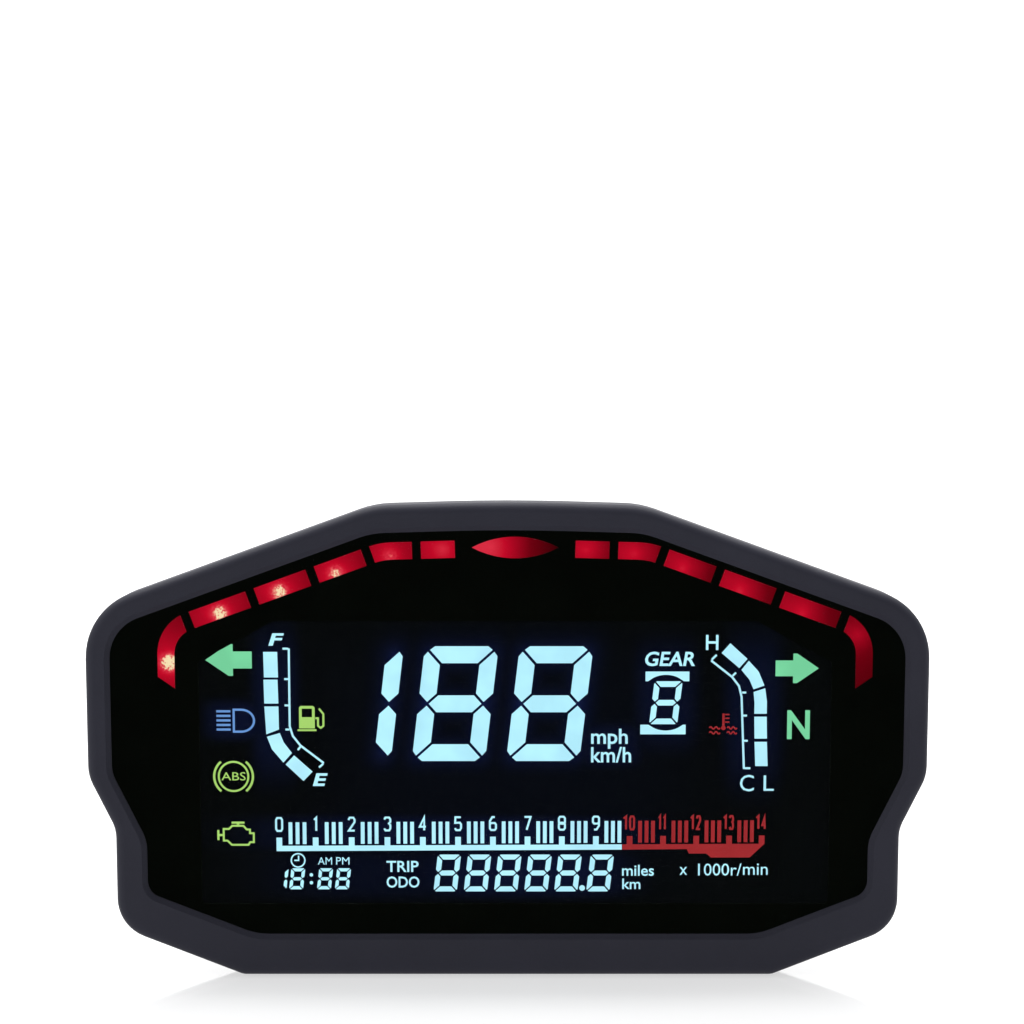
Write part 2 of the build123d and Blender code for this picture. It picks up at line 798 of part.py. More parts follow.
capacitor_base = 2 * (capacitor_radius + capacitor_base_margin)
with BuildPart() as capacitors:
    with BuildSketch(Plane.XZ.offset(board_rear)):
        with Locations(*capacitor_places):
            Rectangle(capacitor_base, capacitor_base)
    extrude(amount=-capacitor_base_height)
    with BuildSketch(Plane.XZ.offset(board_rear)):
        with Locations(*capacitor_places):
            Circle(capacitor_radius)
    extrude(amount=-capacitor_height)
save(capacitors.part, "capacitors")

with BuildPart() as crystal:
    with BuildSketch(Plane.XZ.offset(board_rear)):
        with Locations((crystal_x, crystal_z)):
            SlotOverall(crystal_length, crystal_width, rotation=90)
    extrude(amount=-crystal_height)
save(crystal.part, "crystal")

with BuildPart() as chip_resistors:
    with BuildSketch(Plane.XZ.offset(board_rear)):
        with Locations((resistor_x, resistor_z)):
            with GridLocations(resistor_pitch, resistor_pitch, *resistor_grid):
                Rectangle(*resistor_face)
    extrude(amount=-resistor_height)
save(chip_resistors.part, "chip_resistors")

# ================================================================ rear buttons
collar_rear = back_outer - collar_proud
key_rear = collar_rear - button_proud
switch_rear = board_rear - switch_height
stem_rear = switch_rear - stem_proud
for side, (x, z) in button_points.items():
    with BuildPart() as button:
        with BuildSketch(Plane.XZ.offset(key_rear)):
            with Locations((x, z)):
                Circle(button_radius)
        extrude(amount=back_inner - key_rear)
        fillet(button.faces().sort_by(Axis.Y)[-1].edges(), button_edge_radius)
        with BuildSketch(Plane.XZ.offset(back_inner)):
            with Locations((x, z)):
                Circle(button_radius + button_flange)
        extrude(amount=button_flange_thickness)
        with BuildSketch(Plane.XZ.offset(back_inner)):
            with Locations((x, z)):
                Circle(plunger_radius)
        extrude(amount=stem_rear - back_inner)
    save(button.part, f"{side}_button")

    with BuildPart() as button_ring:
        with BuildSketch(Plane.XZ.offset(collar_rear + ring_depth)):
            with Locations((x, z)):
                Circle(button_radius + button_fit + ring_width)
                Circle(button_radius + button_fit, mode=Mode.SUBTRACT)
        extrude(amount=ring_height)
    save(button_ring.part, f"{side}_button_ring")

    with BuildPart() as switch_body:
        with BuildSketch(Plane.XZ.offset(board_rear)):
            with Locations((x, z)):
                RectangleRounded(switch_side, switch_side, switch_corner_radius)
        extrude(amount=-switch_height)
        with BuildSketch(Plane.XZ.offset(switch_rear)):
            with Locations((x, z)):
                Circle(stem_radius + button_fit)
        extrude(amount=stem_hole_depth, mode=Mode.SUBTRACT)
    save(switch_body.part, f"{side}_switch_body")

    with BuildPart() as switch_stem:
        with BuildSketch(Plane.XZ.offset(stem_rear)):
            with Locations((x, z)):
                Circle(stem_radius)
        extrude(amount=stem_proud + stem_engagement)
    save(switch_stem.part, f"{side}_switch_stem")

# ================================================================ connector
socket_rear = back_outer - socket_proud
outer_width = socket_width + 2 * socket_wall
outer_height = socket_height + 2 * socket_wall
with BuildPart() as connector_shell:
    with BuildSketch(Plane.XZ.offset(socket_rear)):
        with Locations((0, socket_z)):
            RectangleRounded(outer_width, outer_height, socket_radius + socket_wall)
    extrude(amount=socket_depth + socket_floor)
    with BuildSketch(Plane.XZ.offset(back_inner + socket_seal)):
        with Locations((0, socket_z)):
            RectangleRounded(outer_width + 2 * socket_flange, outer_height + 2 * socket_flange, socket_radius)
    extrude(amount=socket_flange_thickness)
    with BuildSketch(Plane.XZ.offset(socket_rear)):
        with Locations((0, socket_z)):
            RectangleRounded(socket_width, socket_height, socket_radius)
    extrude(amount=socket_depth, mode=Mode.SUBTRACT)
    with BuildSketch(Plane.XZ.offset(socket_rear)):
        with Locations((0, socket_z + socket_height / 2)):
            with GridLocations(socket_width / 3, 0, 2, 1):
                Rectangle(key_rib_width, 2 * key_rib_height)
    extrude(amount=socket_depth)
    with BuildSketch(Plane.XZ.offset(socket_rear)):
        with Locations((0, socket_z)):
            with GridLocations(pin_pitch, pin_row_pitch, pin_columns, pin_rows):
                Rectangle(pin_side, pin_side)
    extrude(amount=socket_depth + socket_floor, mode=Mode.SUBTRACT)
save(connector_shell.part, "connector_shell")

with BuildPart() as connector_pins:
    with BuildSketch(Plane.XZ.offset(socket_rear + socket_depth - pin_length)):
        with Locations((0, socket_z)):
            with GridLocations(pin_pitch, pin_row_pitch, pin_columns, pin_rows):
                Rectangle(pin_side, pin_side)
    extrude(amount=board_front - pin_hole_fit - socket_rear - socket_depth + pin_length)
save(connector_pins.part, "connector_pins")

with BuildPart() as connector_seal:
    with BuildSketch(Plane.XZ.offset(back_inner)):
        with Locations((0, socket_z)):
            RectangleRounded(outer_width + 2 * socket_flange, outer_height + 2 * socket_flange, socket_radius)
            RectangleRounded(
                outer_width + 2 * socket_fit,
                outer_height + 2 * socket_fit,
                socket_radius + socket_wall,
                mode=Mode.SUBTRACT,
            )
    extrude(amount=socket_seal)
save(connector_seal.part, "connector_seal")

# ================================================================ vent
vent_rear = back_outer - vent_cap_height
membrane_rear = vent_rear + vent_cap_height / 2
with BuildPart() as vent_plug:
    with BuildSketch(Plane.XZ.offset(vent_rear)):
        with Locations((vent_x, vent_z)):
            Circle(vent_cap_radius)
    extrude(amount=vent_cap_height)
    fillet(vent_plug.faces().sort_by(Axis.Y)[-1].edges(), vent_cap_height / 3)
    with BuildSketch(Plane.XZ.offset(back_outer)):
        with Locations((vent_x, vent_z)):
            Circle(vent_stem_radius)
    extrude(amount=wall)
    with BuildSketch(Plane.XZ.offset(back_inner)):
        with Locations((vent_x, vent_z)):
            Circle(vent_stem_radius + vent_snap)
    extrude(amount=vent_snap_height)
    with BuildSketch(Plane.XZ.offset(membrane_rear)):
        with Locations((vent_x, vent_z)):
            Circle(vent_bore_radius)
    extrude(amount=back_inner + vent_snap_height - membrane_rear, mode=Mode.SUBTRACT)
save(vent_plug.part, "vent_plug")

with BuildPart() as vent_membrane:
    with BuildSketch(Plane.XZ.offset(membrane_rear)):
        with Locations((vent_x, vent_z)):
            Circle(vent_bore_radius)
    extrude(amount=membrane_thickness)
save(vent_membrane.part, "vent_membrane")

# ================================================================ mounting
with BuildPart() as threaded_inserts:
    with BuildSketch(Plane.XZ.offset(boss_face)):
        with Locations(*stud_points):
            Circle(insert_radius)
            Circle(stud_shoulder_radius + thread_fit, mode=Mode.SUBTRACT)
    extrude(amount=insert_length)
save(threaded_inserts.part, "threaded_inserts")

with BuildPart() as mounting_studs:
    with BuildSketch(Plane.XZ.offset(-stud_reach)):
        with Locations(*stud_points):
            Circle(stud_radius)
    extrude(amount=stud_reach + shoulder_recess)
    stud_tips = mounting_studs.faces().group_by(Axis.Y)[-1]
    chamfer(stud_tips.edges(), stud_chamfer)
    with BuildSketch(Plane.XZ.offset(shoulder_recess)):
        with Locations(*stud_points):
            Circle(stud_shoulder_radius)
    extrude(amount=boss_face + stud_engagement - shoulder_recess)
save(mounting_studs.part, "mounting_studs")

with BuildPart() as rubber_isolators:
    with BuildSketch(Plane.XZ):
        with Locations(*stud_points):
            Circle(isolator_radius)
            Circle(stud_shoulder_radius + isolator_fit, mode=Mode.SUBTRACT)
    extrude(amount=isolator_height)
save(rubber_isolators.part, "rubber_isolators")
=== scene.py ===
"""Looks for a motorcycle instrument cluster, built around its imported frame.

The display faces -Y, +X is to the rider's right and +Z is up.  Blender works in metres.  The display's artwork is
laid out in millimetres: right of the case's centre, and above an origin a little over the middle of the display.
"""

import json
import logging
import math
from dataclasses import dataclass, field
from enum import Enum
from typing import Callable, Iterable, Optional, Sequence, Union

import bpy
from mathutils import Matrix, Vector


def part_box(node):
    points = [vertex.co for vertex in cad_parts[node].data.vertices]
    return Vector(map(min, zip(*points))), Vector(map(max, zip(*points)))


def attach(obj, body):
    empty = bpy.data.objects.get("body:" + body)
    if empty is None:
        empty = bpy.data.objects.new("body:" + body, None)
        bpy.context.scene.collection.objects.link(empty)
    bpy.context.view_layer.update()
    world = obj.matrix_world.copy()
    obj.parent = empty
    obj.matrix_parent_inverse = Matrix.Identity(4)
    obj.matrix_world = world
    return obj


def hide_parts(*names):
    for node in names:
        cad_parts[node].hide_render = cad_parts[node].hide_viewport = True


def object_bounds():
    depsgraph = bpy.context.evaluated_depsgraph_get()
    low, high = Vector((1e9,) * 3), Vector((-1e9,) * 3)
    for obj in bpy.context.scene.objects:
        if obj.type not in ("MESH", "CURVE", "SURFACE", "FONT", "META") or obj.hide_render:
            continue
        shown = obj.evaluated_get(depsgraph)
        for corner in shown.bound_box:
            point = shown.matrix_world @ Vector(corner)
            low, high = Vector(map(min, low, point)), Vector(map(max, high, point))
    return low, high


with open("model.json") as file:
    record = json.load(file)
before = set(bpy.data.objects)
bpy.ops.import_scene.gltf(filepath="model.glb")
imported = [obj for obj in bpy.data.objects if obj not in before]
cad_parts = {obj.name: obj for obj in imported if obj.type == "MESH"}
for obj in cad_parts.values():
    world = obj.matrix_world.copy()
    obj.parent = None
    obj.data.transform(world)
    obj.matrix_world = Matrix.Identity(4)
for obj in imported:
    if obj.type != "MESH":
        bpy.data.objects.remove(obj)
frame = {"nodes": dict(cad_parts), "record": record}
CAD_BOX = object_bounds()
MM = 0.001
HOME_BODY = "case"
ARTWORK_DROP = 5.5 * MM     # from the artwork's origin down to the middle of the display
WELD = 0.001 * MM           # points nearer than this are one

Point = tuple[float, float]
Colour = tuple[float, float, float]
log = logging.getLogger("instrument_cluster")


# ---- shader maths
def maths(operation: str, reflected: bool = False) -> Callable[..., "Signal"]:
    """Make a method that adds one Math node.

    Args:
        operation: the node's operation.
        reflected: whether the signal is the last operand.

    Returns:
        The method, which takes the other operands and returns the node's value.
    """
    def method(self: "Signal", *others: "Source") -> "Signal":
        """Add the node."""
        operands = (*others, self) if reflected else (self, *others)
        return self.graph.node("ShaderNodeMath", {"operation": operation}, dict(enumerate(operands)))
    return method


class Signal:
    """A shader value that turns Python expressions into Math nodes."""

    __add__ = maths("ADD")
    __sub__ = maths("SUBTRACT")
    __rsub__ = maths("SUBTRACT", reflected=True)
    __mul__ = maths("MULTIPLY")
    __truediv__ = maths("DIVIDE")
    __pow__ = maths("POWER")
    magnitude = maths("ABSOLUTE")
    at_least = maths("MAXIMUM")
    at_most = maths("MINIMUM")
    exponential = maths("EXPONENT")

    def __init__(self, graph: "Graph", socket: bpy.types.NodeSocket) -> None:
        """Wrap one output socket.

        Args:
            graph: the graph that holds it.
            socket: the output socket.
        """
        self.graph = graph
        self.socket = socket

    def decay(self) -> "Signal":
        """e to the power of minus the value."""
        return (0.0 - self).exponential()


Source = Union[Signal, float, int, tuple]


class Graph:
    """The node tree of one material, with its Principled shader."""

    def __init__(self, name: str) -> None:
        """Start a material.

        Args:
            name: the material's name.
        """
        self.material = bpy.data.materials.new(name)
        self.material.use_nodes = True
        self.tree = self.material.node_tree
        self.shader = self.tree.nodes["Principled BSDF"]

    def feed(self, socket: bpy.types.NodeSocket, source: Source) -> None:
        """Link a signal to a socket, or set the socket's own value.

        Args:
            socket: the input socket.
            source: a signal, a number or a colour.
        """
        if isinstance(source, Signal):
            self.tree.links.new(source.socket, socket)
        elif isinstance(source, tuple) and socket.type == "RGBA" and len(source) == 3:
            socket.default_value = (*source, 1.0)
        else:
            socket.default_value = source

    def node(self, kind: str, settings: Optional[dict] = None, inputs: Optional[dict] = None,
             output: Union[int, str] = 0) -> Signal:
        """Make any node.

        Args:
            kind: the node's type.
            settings: properties that are set first; "stops" fills a ramp.
            inputs: values or signals by socket name or number.
            output: the output that is returned.

        Returns:
            That output as a signal.
        """
        made = self.tree.nodes.new(kind)
        for key, value in (settings or {}).items():
            if key == "stops":
                self.fill_ramp(made.color_ramp, value)
            else:
                setattr(made, key, value)
        for key, source in (inputs or {}).items():
            self.feed(made.inputs[key], source)
        return Signal(self, made.outputs[output])

    def fill_ramp(self, ramp: bpy.types.ColorRamp, stops: Sequence[tuple[float, Colour]]) -> None:
        """Give a ramp its stops, from the first position to the last.

        Args:
            ramp: the ramp of a new node.
            stops: positions and colours.
        """
        while len(ramp.elements) < len(stops):
            ramp.elements.new(1.0)
        for element, (position, colour) in zip(ramp.elements, stops):
            element.position = position
            element.color = (*colour, 1.0)

    def place(self) -> Signal:
        """Object coordinates."""
        return self.node("ShaderNodeTexCoord", output="Object")

    def parts(self) -> tuple[Signal, Signal, Signal]:
        """Object coordinates as separate values.

        Returns:
            The X, Y and Z signals.
        """
        split = self.node("ShaderNodeSeparateXYZ", inputs={"Vector": self.place()})
        node = split.socket.node
        return tuple(Signal(self, node.outputs[axis]) for axis in "XYZ")

    def noise(self, size: float, detail: float = 2.0, roughness: float = 0.5) -> Signal:
        """Noise whose features are about that many metres across."""
        inputs = {"Vector": self.place(), "Scale": 1.0 / size, "Detail": detail, "Roughness": roughness}
        return self.node("ShaderNodeTexNoise", inputs=inputs)

    def ramp(self, value: Signal, stops: Sequence[tuple[float, Colour]]) -> Signal:
        """A colour picked by a value."""
        return self.node("ShaderNodeValToRGB", {"stops": stops}, {"Fac": value})

    def spread(self, value: Signal, low: float, high: float) -> Signal:
        """Noise or another value from 0 to 1, spread over a range."""
        return value * (high - low) + low

    def bump(self, height: Signal, depth: float) -> None:
        """Give the shader's normal a relief from 0 to 1 of that depth in metres."""
        self.set("Normal", self.node("ShaderNodeBump", inputs={"Height": height, "Distance": depth}))

    def mottle(self, value: Signal, colour: Colour, low: float, high: float, dark: float, light: float = 1.0) -> Signal:
        """A colour that goes from a darker to a lighter shade.

        Args:
            value: what picks the shade.
            colour: the colour itself.
            low: the value at which the darker shade starts to lighten.
            high: the value from which the lighter shade holds.
            dark: the darker shade, as a share of the colour.
            light: the lighter shade, as a share of the colour.

        Returns:
            The colour.
        """
        shades = [tuple(share * part for part in colour) for share in (dark, light)]
        return self.ramp(value, list(zip((low, high), shades)))

    def set(self, socket: str, source: Source) -> None:
        """Feed one socket of the Principled shader."""
        self.feed(self.shader.inputs[socket], source)


# ---- finishes
class Relief(Enum):
    """How a moulded surface is textured: size of its grain in metres, and depth."""

    FINE = (0.00035, 0.000030)
    COARSE = (0.0007, 0.000060)
    SATIN = (0.0002, 0.000006)


@dataclass(frozen=True)
class Moulded:
    """Moulded plastic or rubber with a spark-eroded grain and slight mottling."""

    name: str
    colour: Colour
    roughness: float = 0.5
    relief: Relief = Relief.FINE
    specular: float = 0.5
    mottle: float = 0.12
    cloud_size: float = 0.012
    cloud_span: Point = (0.1, 0.6)
    grain_share: float = 0.3
    smoother: float = 0.06
    rougher: float = 0.08

    def material(self) -> bpy.types.Material:
        """Make the material.

        Returns:
            A material with its own bump.
        """
        graph = Graph(self.name)
        size, depth = self.relief.value
        grain = graph.noise(size, detail=3.0, roughness=0.6)
        cloud = graph.noise(self.cloud_size, detail=3.0)
        mixed = graph.spread(cloud, *self.cloud_span) + grain * self.grain_share
        graph.set("Base Color", graph.mottle(mixed, self.colour, 0.25, 0.75, 1 - self.mottle, 1 + self.mottle))
        graph.set("Roughness", graph.spread(grain, self.roughness - self.smoother, self.roughness + self.rougher))
        graph.set("Specular IOR Level", self.specular)
        graph.bump(grain, depth)
        return graph.material


@dataclass(frozen=True)
class Metal:
    """Plated or turned metal with fine scratches."""

    name: str
    colour: Colour
    roughness: float = 0.3
    scratch_size: float = 0.0004
    scratch_depth: float = 0.000004
    stain_size: float = 0.004
    stain_shade: float = 0.8
    scratch_share: float = 0.6
    smoother: float = 0.1
    rougher: float = 0.15

    def material(self) -> bpy.types.Material:
        """Make the material.

        Returns:
            A metallic material with its own bump.
        """
        graph = Graph(self.name)
        scratch = graph.noise(self.scratch_size, detail=4.0, roughness=0.7)
        stain = graph.noise(self.stain_size)
        worn = scratch * self.scratch_share + stain * (1 - self.scratch_share)
        graph.set("Base Color", graph.mottle(stain, self.colour, 0.35, 0.65, self.stain_shade))
        graph.set("Metallic", 1.0)
        graph.set("Roughness", graph.spread(worn, self.roughness - self.smoother, self.roughness + self.rougher))
        graph.bump(scratch, self.scratch_depth)
        return graph.material


@dataclass(frozen=True)
class ClearCover:
    """Hard-coated clear plastic or glass."""

    name: str
    tint: Colour = (1.0, 1.0, 1.0)
    bend: float = 1.1
    roughness: float = 0.0
    haze_size: float = 0.02
    haze_shade: float = 0.985
    haze_roughness: float = 0.01

    def material(self) -> bpy.types.Material:
        """Make the material.

        Returns:
            A clear material.
        """
        graph = Graph(self.name)
        haze = graph.noise(self.haze_size)
        graph.set("Base Color", graph.mottle(haze, self.tint, 0.3, 0.7, self.haze_shade))
        graph.set("Transmission Weight", 1.0)
        graph.set("IOR", self.bend)
        graph.set("Roughness", graph.spread(haze, self.roughness, self.roughness + self.haze_roughness))
        return graph.material


@dataclass(frozen=True)
class Glowing:
    """A surface that gives off light of its own: black print with a painted sheen, or a paper floor with an even glow.
    """

    name: str
    colour: Colour
    glow: Colour
    cloud_size: float
    brighter: float
    glow_shade: float
    roughness: tuple[float, float]
    specular: float = 0.0

    def material(self) -> bpy.types.Material:
        """Make the material.

        Returns:
            A material with a little light of its own.
        """
        graph = Graph(self.name)
        cloud = graph.noise(self.cloud_size)
        graph.set("Base Color", graph.mottle(cloud, self.colour, 0.3, 0.7, 1.0, self.brighter))
        graph.set("Roughness", graph.spread(cloud, *self.roughness))
        graph.set("Specular IOR Level", self.specular)
        graph.set("Emission Color", graph.mottle(cloud, self.glow, 0.3, 0.7, self.glow_shade))
        graph.set("Emission Strength", 1.0)
        return graph.material


@dataclass(frozen=True)
class LitInk:
    """A lit display colour, a little uneven like a backlit segment."""

    name: str
    colour: Colour
    unevenness: float = 0.1
    cloud_size: float = 0.006

    def material(self) -> bpy.types.Material:
        """Make the material.

        Returns:
            A material that is only light.
        """
        graph = Graph(self.name)
        cloud = graph.noise(self.cloud_size)
        graph.set("Base Color", (0.0, 0.0, 0.0))
        graph.set("Emission Color", graph.mottle(cloud, self.colour, 0.35, 0.62, 1 - self.unevenness))
        graph.set("Emission Strength", 1.0)
        graph.set("Specular IOR Level", 0.0)
        return graph.material


@dataclass(frozen=True)
class Halo:
    """A soft patch of stray backlight round a lit group: its middle and half size, in millimetres."""

    middle: Point
    reach: Point
    strength: float = 1.0
    squareness: float = 4.0

    def level(self, x: Signal, z: Signal) -> Signal:
        """How bright the patch is at a place.

        Args:
            x: millimetres right of the case's middle.
            z: millimetres above the artwork's origin.

        Returns:
            Its brightness, from 0 to 1.
        """
        across = (x - self.middle[0]).magnitude() / self.reach[0]
        up = (z - self.middle[1]).magnitude() / self.reach[1]
        return (across ** self.squareness + up ** self.squareness).decay() * self.strength


@dataclass(frozen=True)
class DigitHalo:
    """The tight glow that follows the segments of one large digit, in millimetres."""

    middle: Point
    half_width: float
    half_height: float
    lean: float
    fade: float = 1.5
    strength: float = 1.0

    def level(self, x: Signal, z: Signal) -> Signal:
        """How bright the glow is at a place.

        Args:
            x: millimetres right of the case's middle.
            z: millimetres above the artwork's origin.

        Returns:
            Its brightness, from 0 to 1.
        """
        up = z - self.middle[1]
        u = (x - self.middle[0] - up * self.lean).magnitude()
        v = up.magnitude()
        past_side = (u - self.half_width).at_least(0.0)
        past_top = (v - self.half_height).at_least(0.0)
        upright = self.distance(u - self.half_width, past_top)
        outer_bar = self.distance(past_side, v - self.half_height)
        middle_bar = self.distance(past_side, v)
        nearest = upright.at_most(outer_bar).at_most(middle_bar)
        return (nearest / self.fade).decay() * self.strength

    def distance(self, across: Signal, up: Signal) -> Signal:
        """Length of an offset."""
        return (across * across + up * up) ** 0.5


@dataclass(frozen=True)
class DarkDisplay:
    """The unlit face of a negative display: near black, with stray blue light round what is lit."""

    name: str
    lift: float
    halos: tuple[Union[Halo, DigitHalo], ...]
    black: Colour = (0.0012, 0.0017, 0.0017)
    glow: Colour = (0.0052, 0.0095, 0.048)
    base: Colour = (0.0006, 0.0006, 0.0008)
    grain_size: float = 0.003
    unevenness: float = 0.15

    def material(self) -> bpy.types.Material:
        """Make the material.

        Returns:
            A dark material that glows where the halos are.
        """
        graph = Graph(self.name)
        x, _, z = graph.parts()
        x = x / MM
        z = (z - self.lift) / MM
        total = self.halos[0].level(x, z)
        for halo in self.halos[1:]:
            total = total.at_least(halo.level(x, z))
        grain = graph.noise(self.grain_size, detail=3.0)
        level = (total * graph.spread(grain, 1 - self.unevenness, 1 + self.unevenness)).at_most(1.0)
        graph.set("Base Color", self.base)
        graph.set("Roughness", graph.spread(grain, 0.4, 0.5))
        graph.set("Specular IOR Level", 0.0)
        graph.set("Emission Color", graph.ramp(level, [(0.0, self.black), (1.0, self.glow)]))
        graph.set("Emission Strength", 1.0)
        return graph.material


@dataclass(frozen=True)
class Lamp:
    """What shows of the lamp behind a window: where it is, as shares of the window, and how bright."""

    across: float
    up: float
    spark: float
    glow: float
    shade: float = 0.25
    fade: float = 0.006


@dataclass(frozen=True)
class RedWindow:
    """A red light window with the sparkling hot spot of the lamp behind it."""

    name: str
    spot: Vector
    lamp: Lamp
    reach: float = 4.5
    spark_reach: float = 1.3
    crystal_size: float = 0.00045
    cloud_size: float = 0.003
    unevenness: float = 0.2
    base: Colour = (0.05, 0.001, 0.003)
    sparkle: Point = (-2.0, 4.2)
    least_sparkle: float = 0.15

    def material(self) -> bpy.types.Material:
        """Make the material.

        Returns:
            A lit red material.
        """
        graph = Graph(self.name)
        x, _, z = graph.parts()
        across = (x - self.spot.x) / MM
        up = (z - self.spot.z) / MM
        distance = (across * across + up * up) ** 0.5
        crystals = graph.noise(self.crystal_size, detail=3.0, roughness=0.7)
        cloud = graph.noise(self.cloud_size, detail=3.0)
        wide = (distance / self.reach).decay() * self.lamp.glow
        tight = ((distance / self.spark_reach) ** 2.0).decay() * self.lamp.spark
        sparkle = graph.spread(crystals, *self.sparkle).at_least(self.least_sparkle)
        level = wide * graph.spread(cloud, 1 - self.unevenness, 1 + self.unevenness) + tight * sparkle
        shaded = level + (self.lamp.shade - across * self.lamp.fade)
        stops = [
            (0.0, (0.006, 0.0002, 0.0008)),
            (0.25, (0.14, 0.0006, 0.005)),
            (0.5, (0.50, 0.003, 0.020)),
            (0.7, (0.66, 0.03, 0.06)),
            (0.85, (0.78, 0.26, 0.20)),
            (1.0, (0.88, 0.76, 0.46)),
        ]
        graph.set("Base Color", self.base)
        graph.set("Roughness", graph.spread(crystals, 0.3, 0.4))
        graph.set("Specular IOR Level", 0.05)
        graph.set("Emission Color", graph.ramp(shaded.at_most(1.0), stops))
        graph.set("Emission Strength", 1.0)
        return graph.material


Finish = Union[Moulded, Metal, ClearCover, Glowing, DarkDisplay]


# ---- modelling helpers
def only(*things: bpy.types.Object) -> None:
    """Select objects alone.

    Args:
        things: the objects, the first of which becomes active.
    """
    bpy.ops.object.select_all(action="DESELECT")
    for thing in things:
        thing.select_set(True)
    bpy.context.view_layer.objects.active = things[0]


def settle(thing: bpy.types.Object) -> None:
    """Put an object's place into its mesh."""
    only(thing)
    bpy.ops.object.transform_apply(location=True, rotation=True, scale=True)


def modify(thing: bpy.types.Object, kind: str, **settings: object) -> None:
    """Apply a modifier to an object.

    Args:
        thing: the object.
        kind: the modifier's type.
        settings: its settings by name.
    """
    modifier = thing.modifiers.new(kind, kind)
    for key, value in settings.items():
        setattr(modifier, key, value)
    only(thing)
    bpy.ops.object.modifier_apply(modifier=modifier.name)


def dress(thing: bpy.types.Object, material: bpy.types.Material) -> None:
    """Give every slot of an object the one material.

    Args:
        thing: the object, with or without slots.
        material: its material.
    """
    if not thing.material_slots:
        thing.data.materials.append(material)
    for own in thing.material_slots:
        own.material = material


def finish_piece(thing: bpy.types.Object, name: str, body: str = HOME_BODY) -> None:
    """Name a finished piece and let it ride.

    Args:
        thing: the object, settled.
        name: what the piece is called.
        body: the body that it moves with.
    """
    thing.name = name
    thing.data.name = name
    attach(thing, body)
    log.info("%s rides on %s", name, body)


# ---- display artwork
def arc(middle: Point, radius: float, start: float, end: float, steps: int = 16) -> list[Point]:
    """Points along an arc.

    Args:
        middle: the arc's centre.
        radius: its radius.
        start: its first angle, in degrees anticlockwise from +X.
        end: its last angle.
        steps: into how many chords it is cut.

    Returns:
        The points, both ends included.
    """
    points = []
    for step in range(steps + 1):
        angle = math.radians(start + (end - start) * step / steps)
        points.append((middle[0] + radius * math.cos(angle), middle[1] + radius * math.sin(angle)))
    return points


def circle(middle: Point, radius: float, corners: int) -> list[Point]:
    """Corners of a polygon round a circle."""
    return arc(middle, radius, 0, 360 - 360 / corners, corners - 1)


def ribbon(points: Sequence[Point], width: float, closed: bool = False) -> list[list[Point]]:
    """Outline of a line of one width, with mitred corners.

    Args:
        points: the middle of the line.
        width: its width.
        closed: whether it comes back to its start.

    Returns:
        One loop, or an outer and an inner one if it is closed.
    """
    count = len(points)
    left, right = [], []
    for index, (x, z) in enumerate(points):
        before = points[index - 1] if closed or index else None
        after = points[(index + 1) % count] if closed or index < count - 1 else None
        ways = []
        if before:
            ways.append(Vector((x - before[0], z - before[1])).normalized())
        if after:
            ways.append(Vector((after[0] - x, after[1] - z)).normalized())
        along = sum(ways, Vector((0.0, 0.0))).normalized()
        normal = Vector((-along.y, along.x))
        reach = width / 2 / max(normal.dot(Vector((-ways[0].y, ways[0].x))), 0.3)
        left.append((x + normal.x * reach, z + normal.y * reach))
        right.append((x - normal.x * reach, z - normal.y * reach))
    return [left, right] if closed else [left + right[::-1]]


# Strokes of condensed figures, as shares of a figure's width and height.
LOOP = [(0.0, 0.15), (0.2, 0.0), (0.8, 0.0), (1.0, 0.15), (1.0, 0.85), (0.8, 1.0), (0.2, 1.0), (0.0, 0.85), (0.0, 0.15)]
LOWER_LOOP = [(0.0, 0.12), (0.2, 0.0), (0.8, 0.0), (1.0, 0.12), (1.0, 0.42), (0.8, 0.54), (0.2, 0.54), (0.0, 0.42),
              (0.0, 0.12)]
UPPER_LOOP = [(1.0 - u, 1.0 - v) for u, v in LOWER_LOOP]
FIGURE_SPACE = 0.18    # between two figures of one number
FIGURES = {
    "0": [LOOP],
    "1": [[(0.1, 0.84), (0.72, 1.0), (0.72, 0.0)]],
    "2": [[(0.0, 0.82), (0.2, 1.0), (0.8, 1.0), (1.0, 0.84), (1.0, 0.66), (0.05, 0.0), (1.0, 0.0)]],
    "3": [[(0.0, 0.85), (0.2, 1.0), (0.8, 1.0), (1.0, 0.85), (1.0, 0.66), (0.75, 0.54), (1.0, 0.42), (1.0, 0.15),
           (0.8, 0.0), (0.2, 0.0), (0.0, 0.15)]],
    "4": [[(0.72, 0.0), (0.72, 1.0), (0.0, 0.28), (1.0, 0.28)]],
    "5": [[(0.95, 1.0), (0.08, 1.0), (0.03, 0.56), (0.8, 0.58), (1.0, 0.45), (1.0, 0.15), (0.8, 0.0), (0.2, 0.0),
           (0.0, 0.15)]],
    "6": [LOWER_LOOP, [(0.0, 0.3), (0.0, 0.7), (0.4, 1.0), (0.8, 1.0)]],
    "7": [[(0.0, 1.0), (1.0, 1.0), (0.35, 0.0)]],
    "8": [LOWER_LOOP, UPPER_LOOP],
    "9": [UPPER_LOOP, [(1.0, 0.7), (1.0, 0.3), (0.6, 0.0), (0.2, 0.0)]],
}


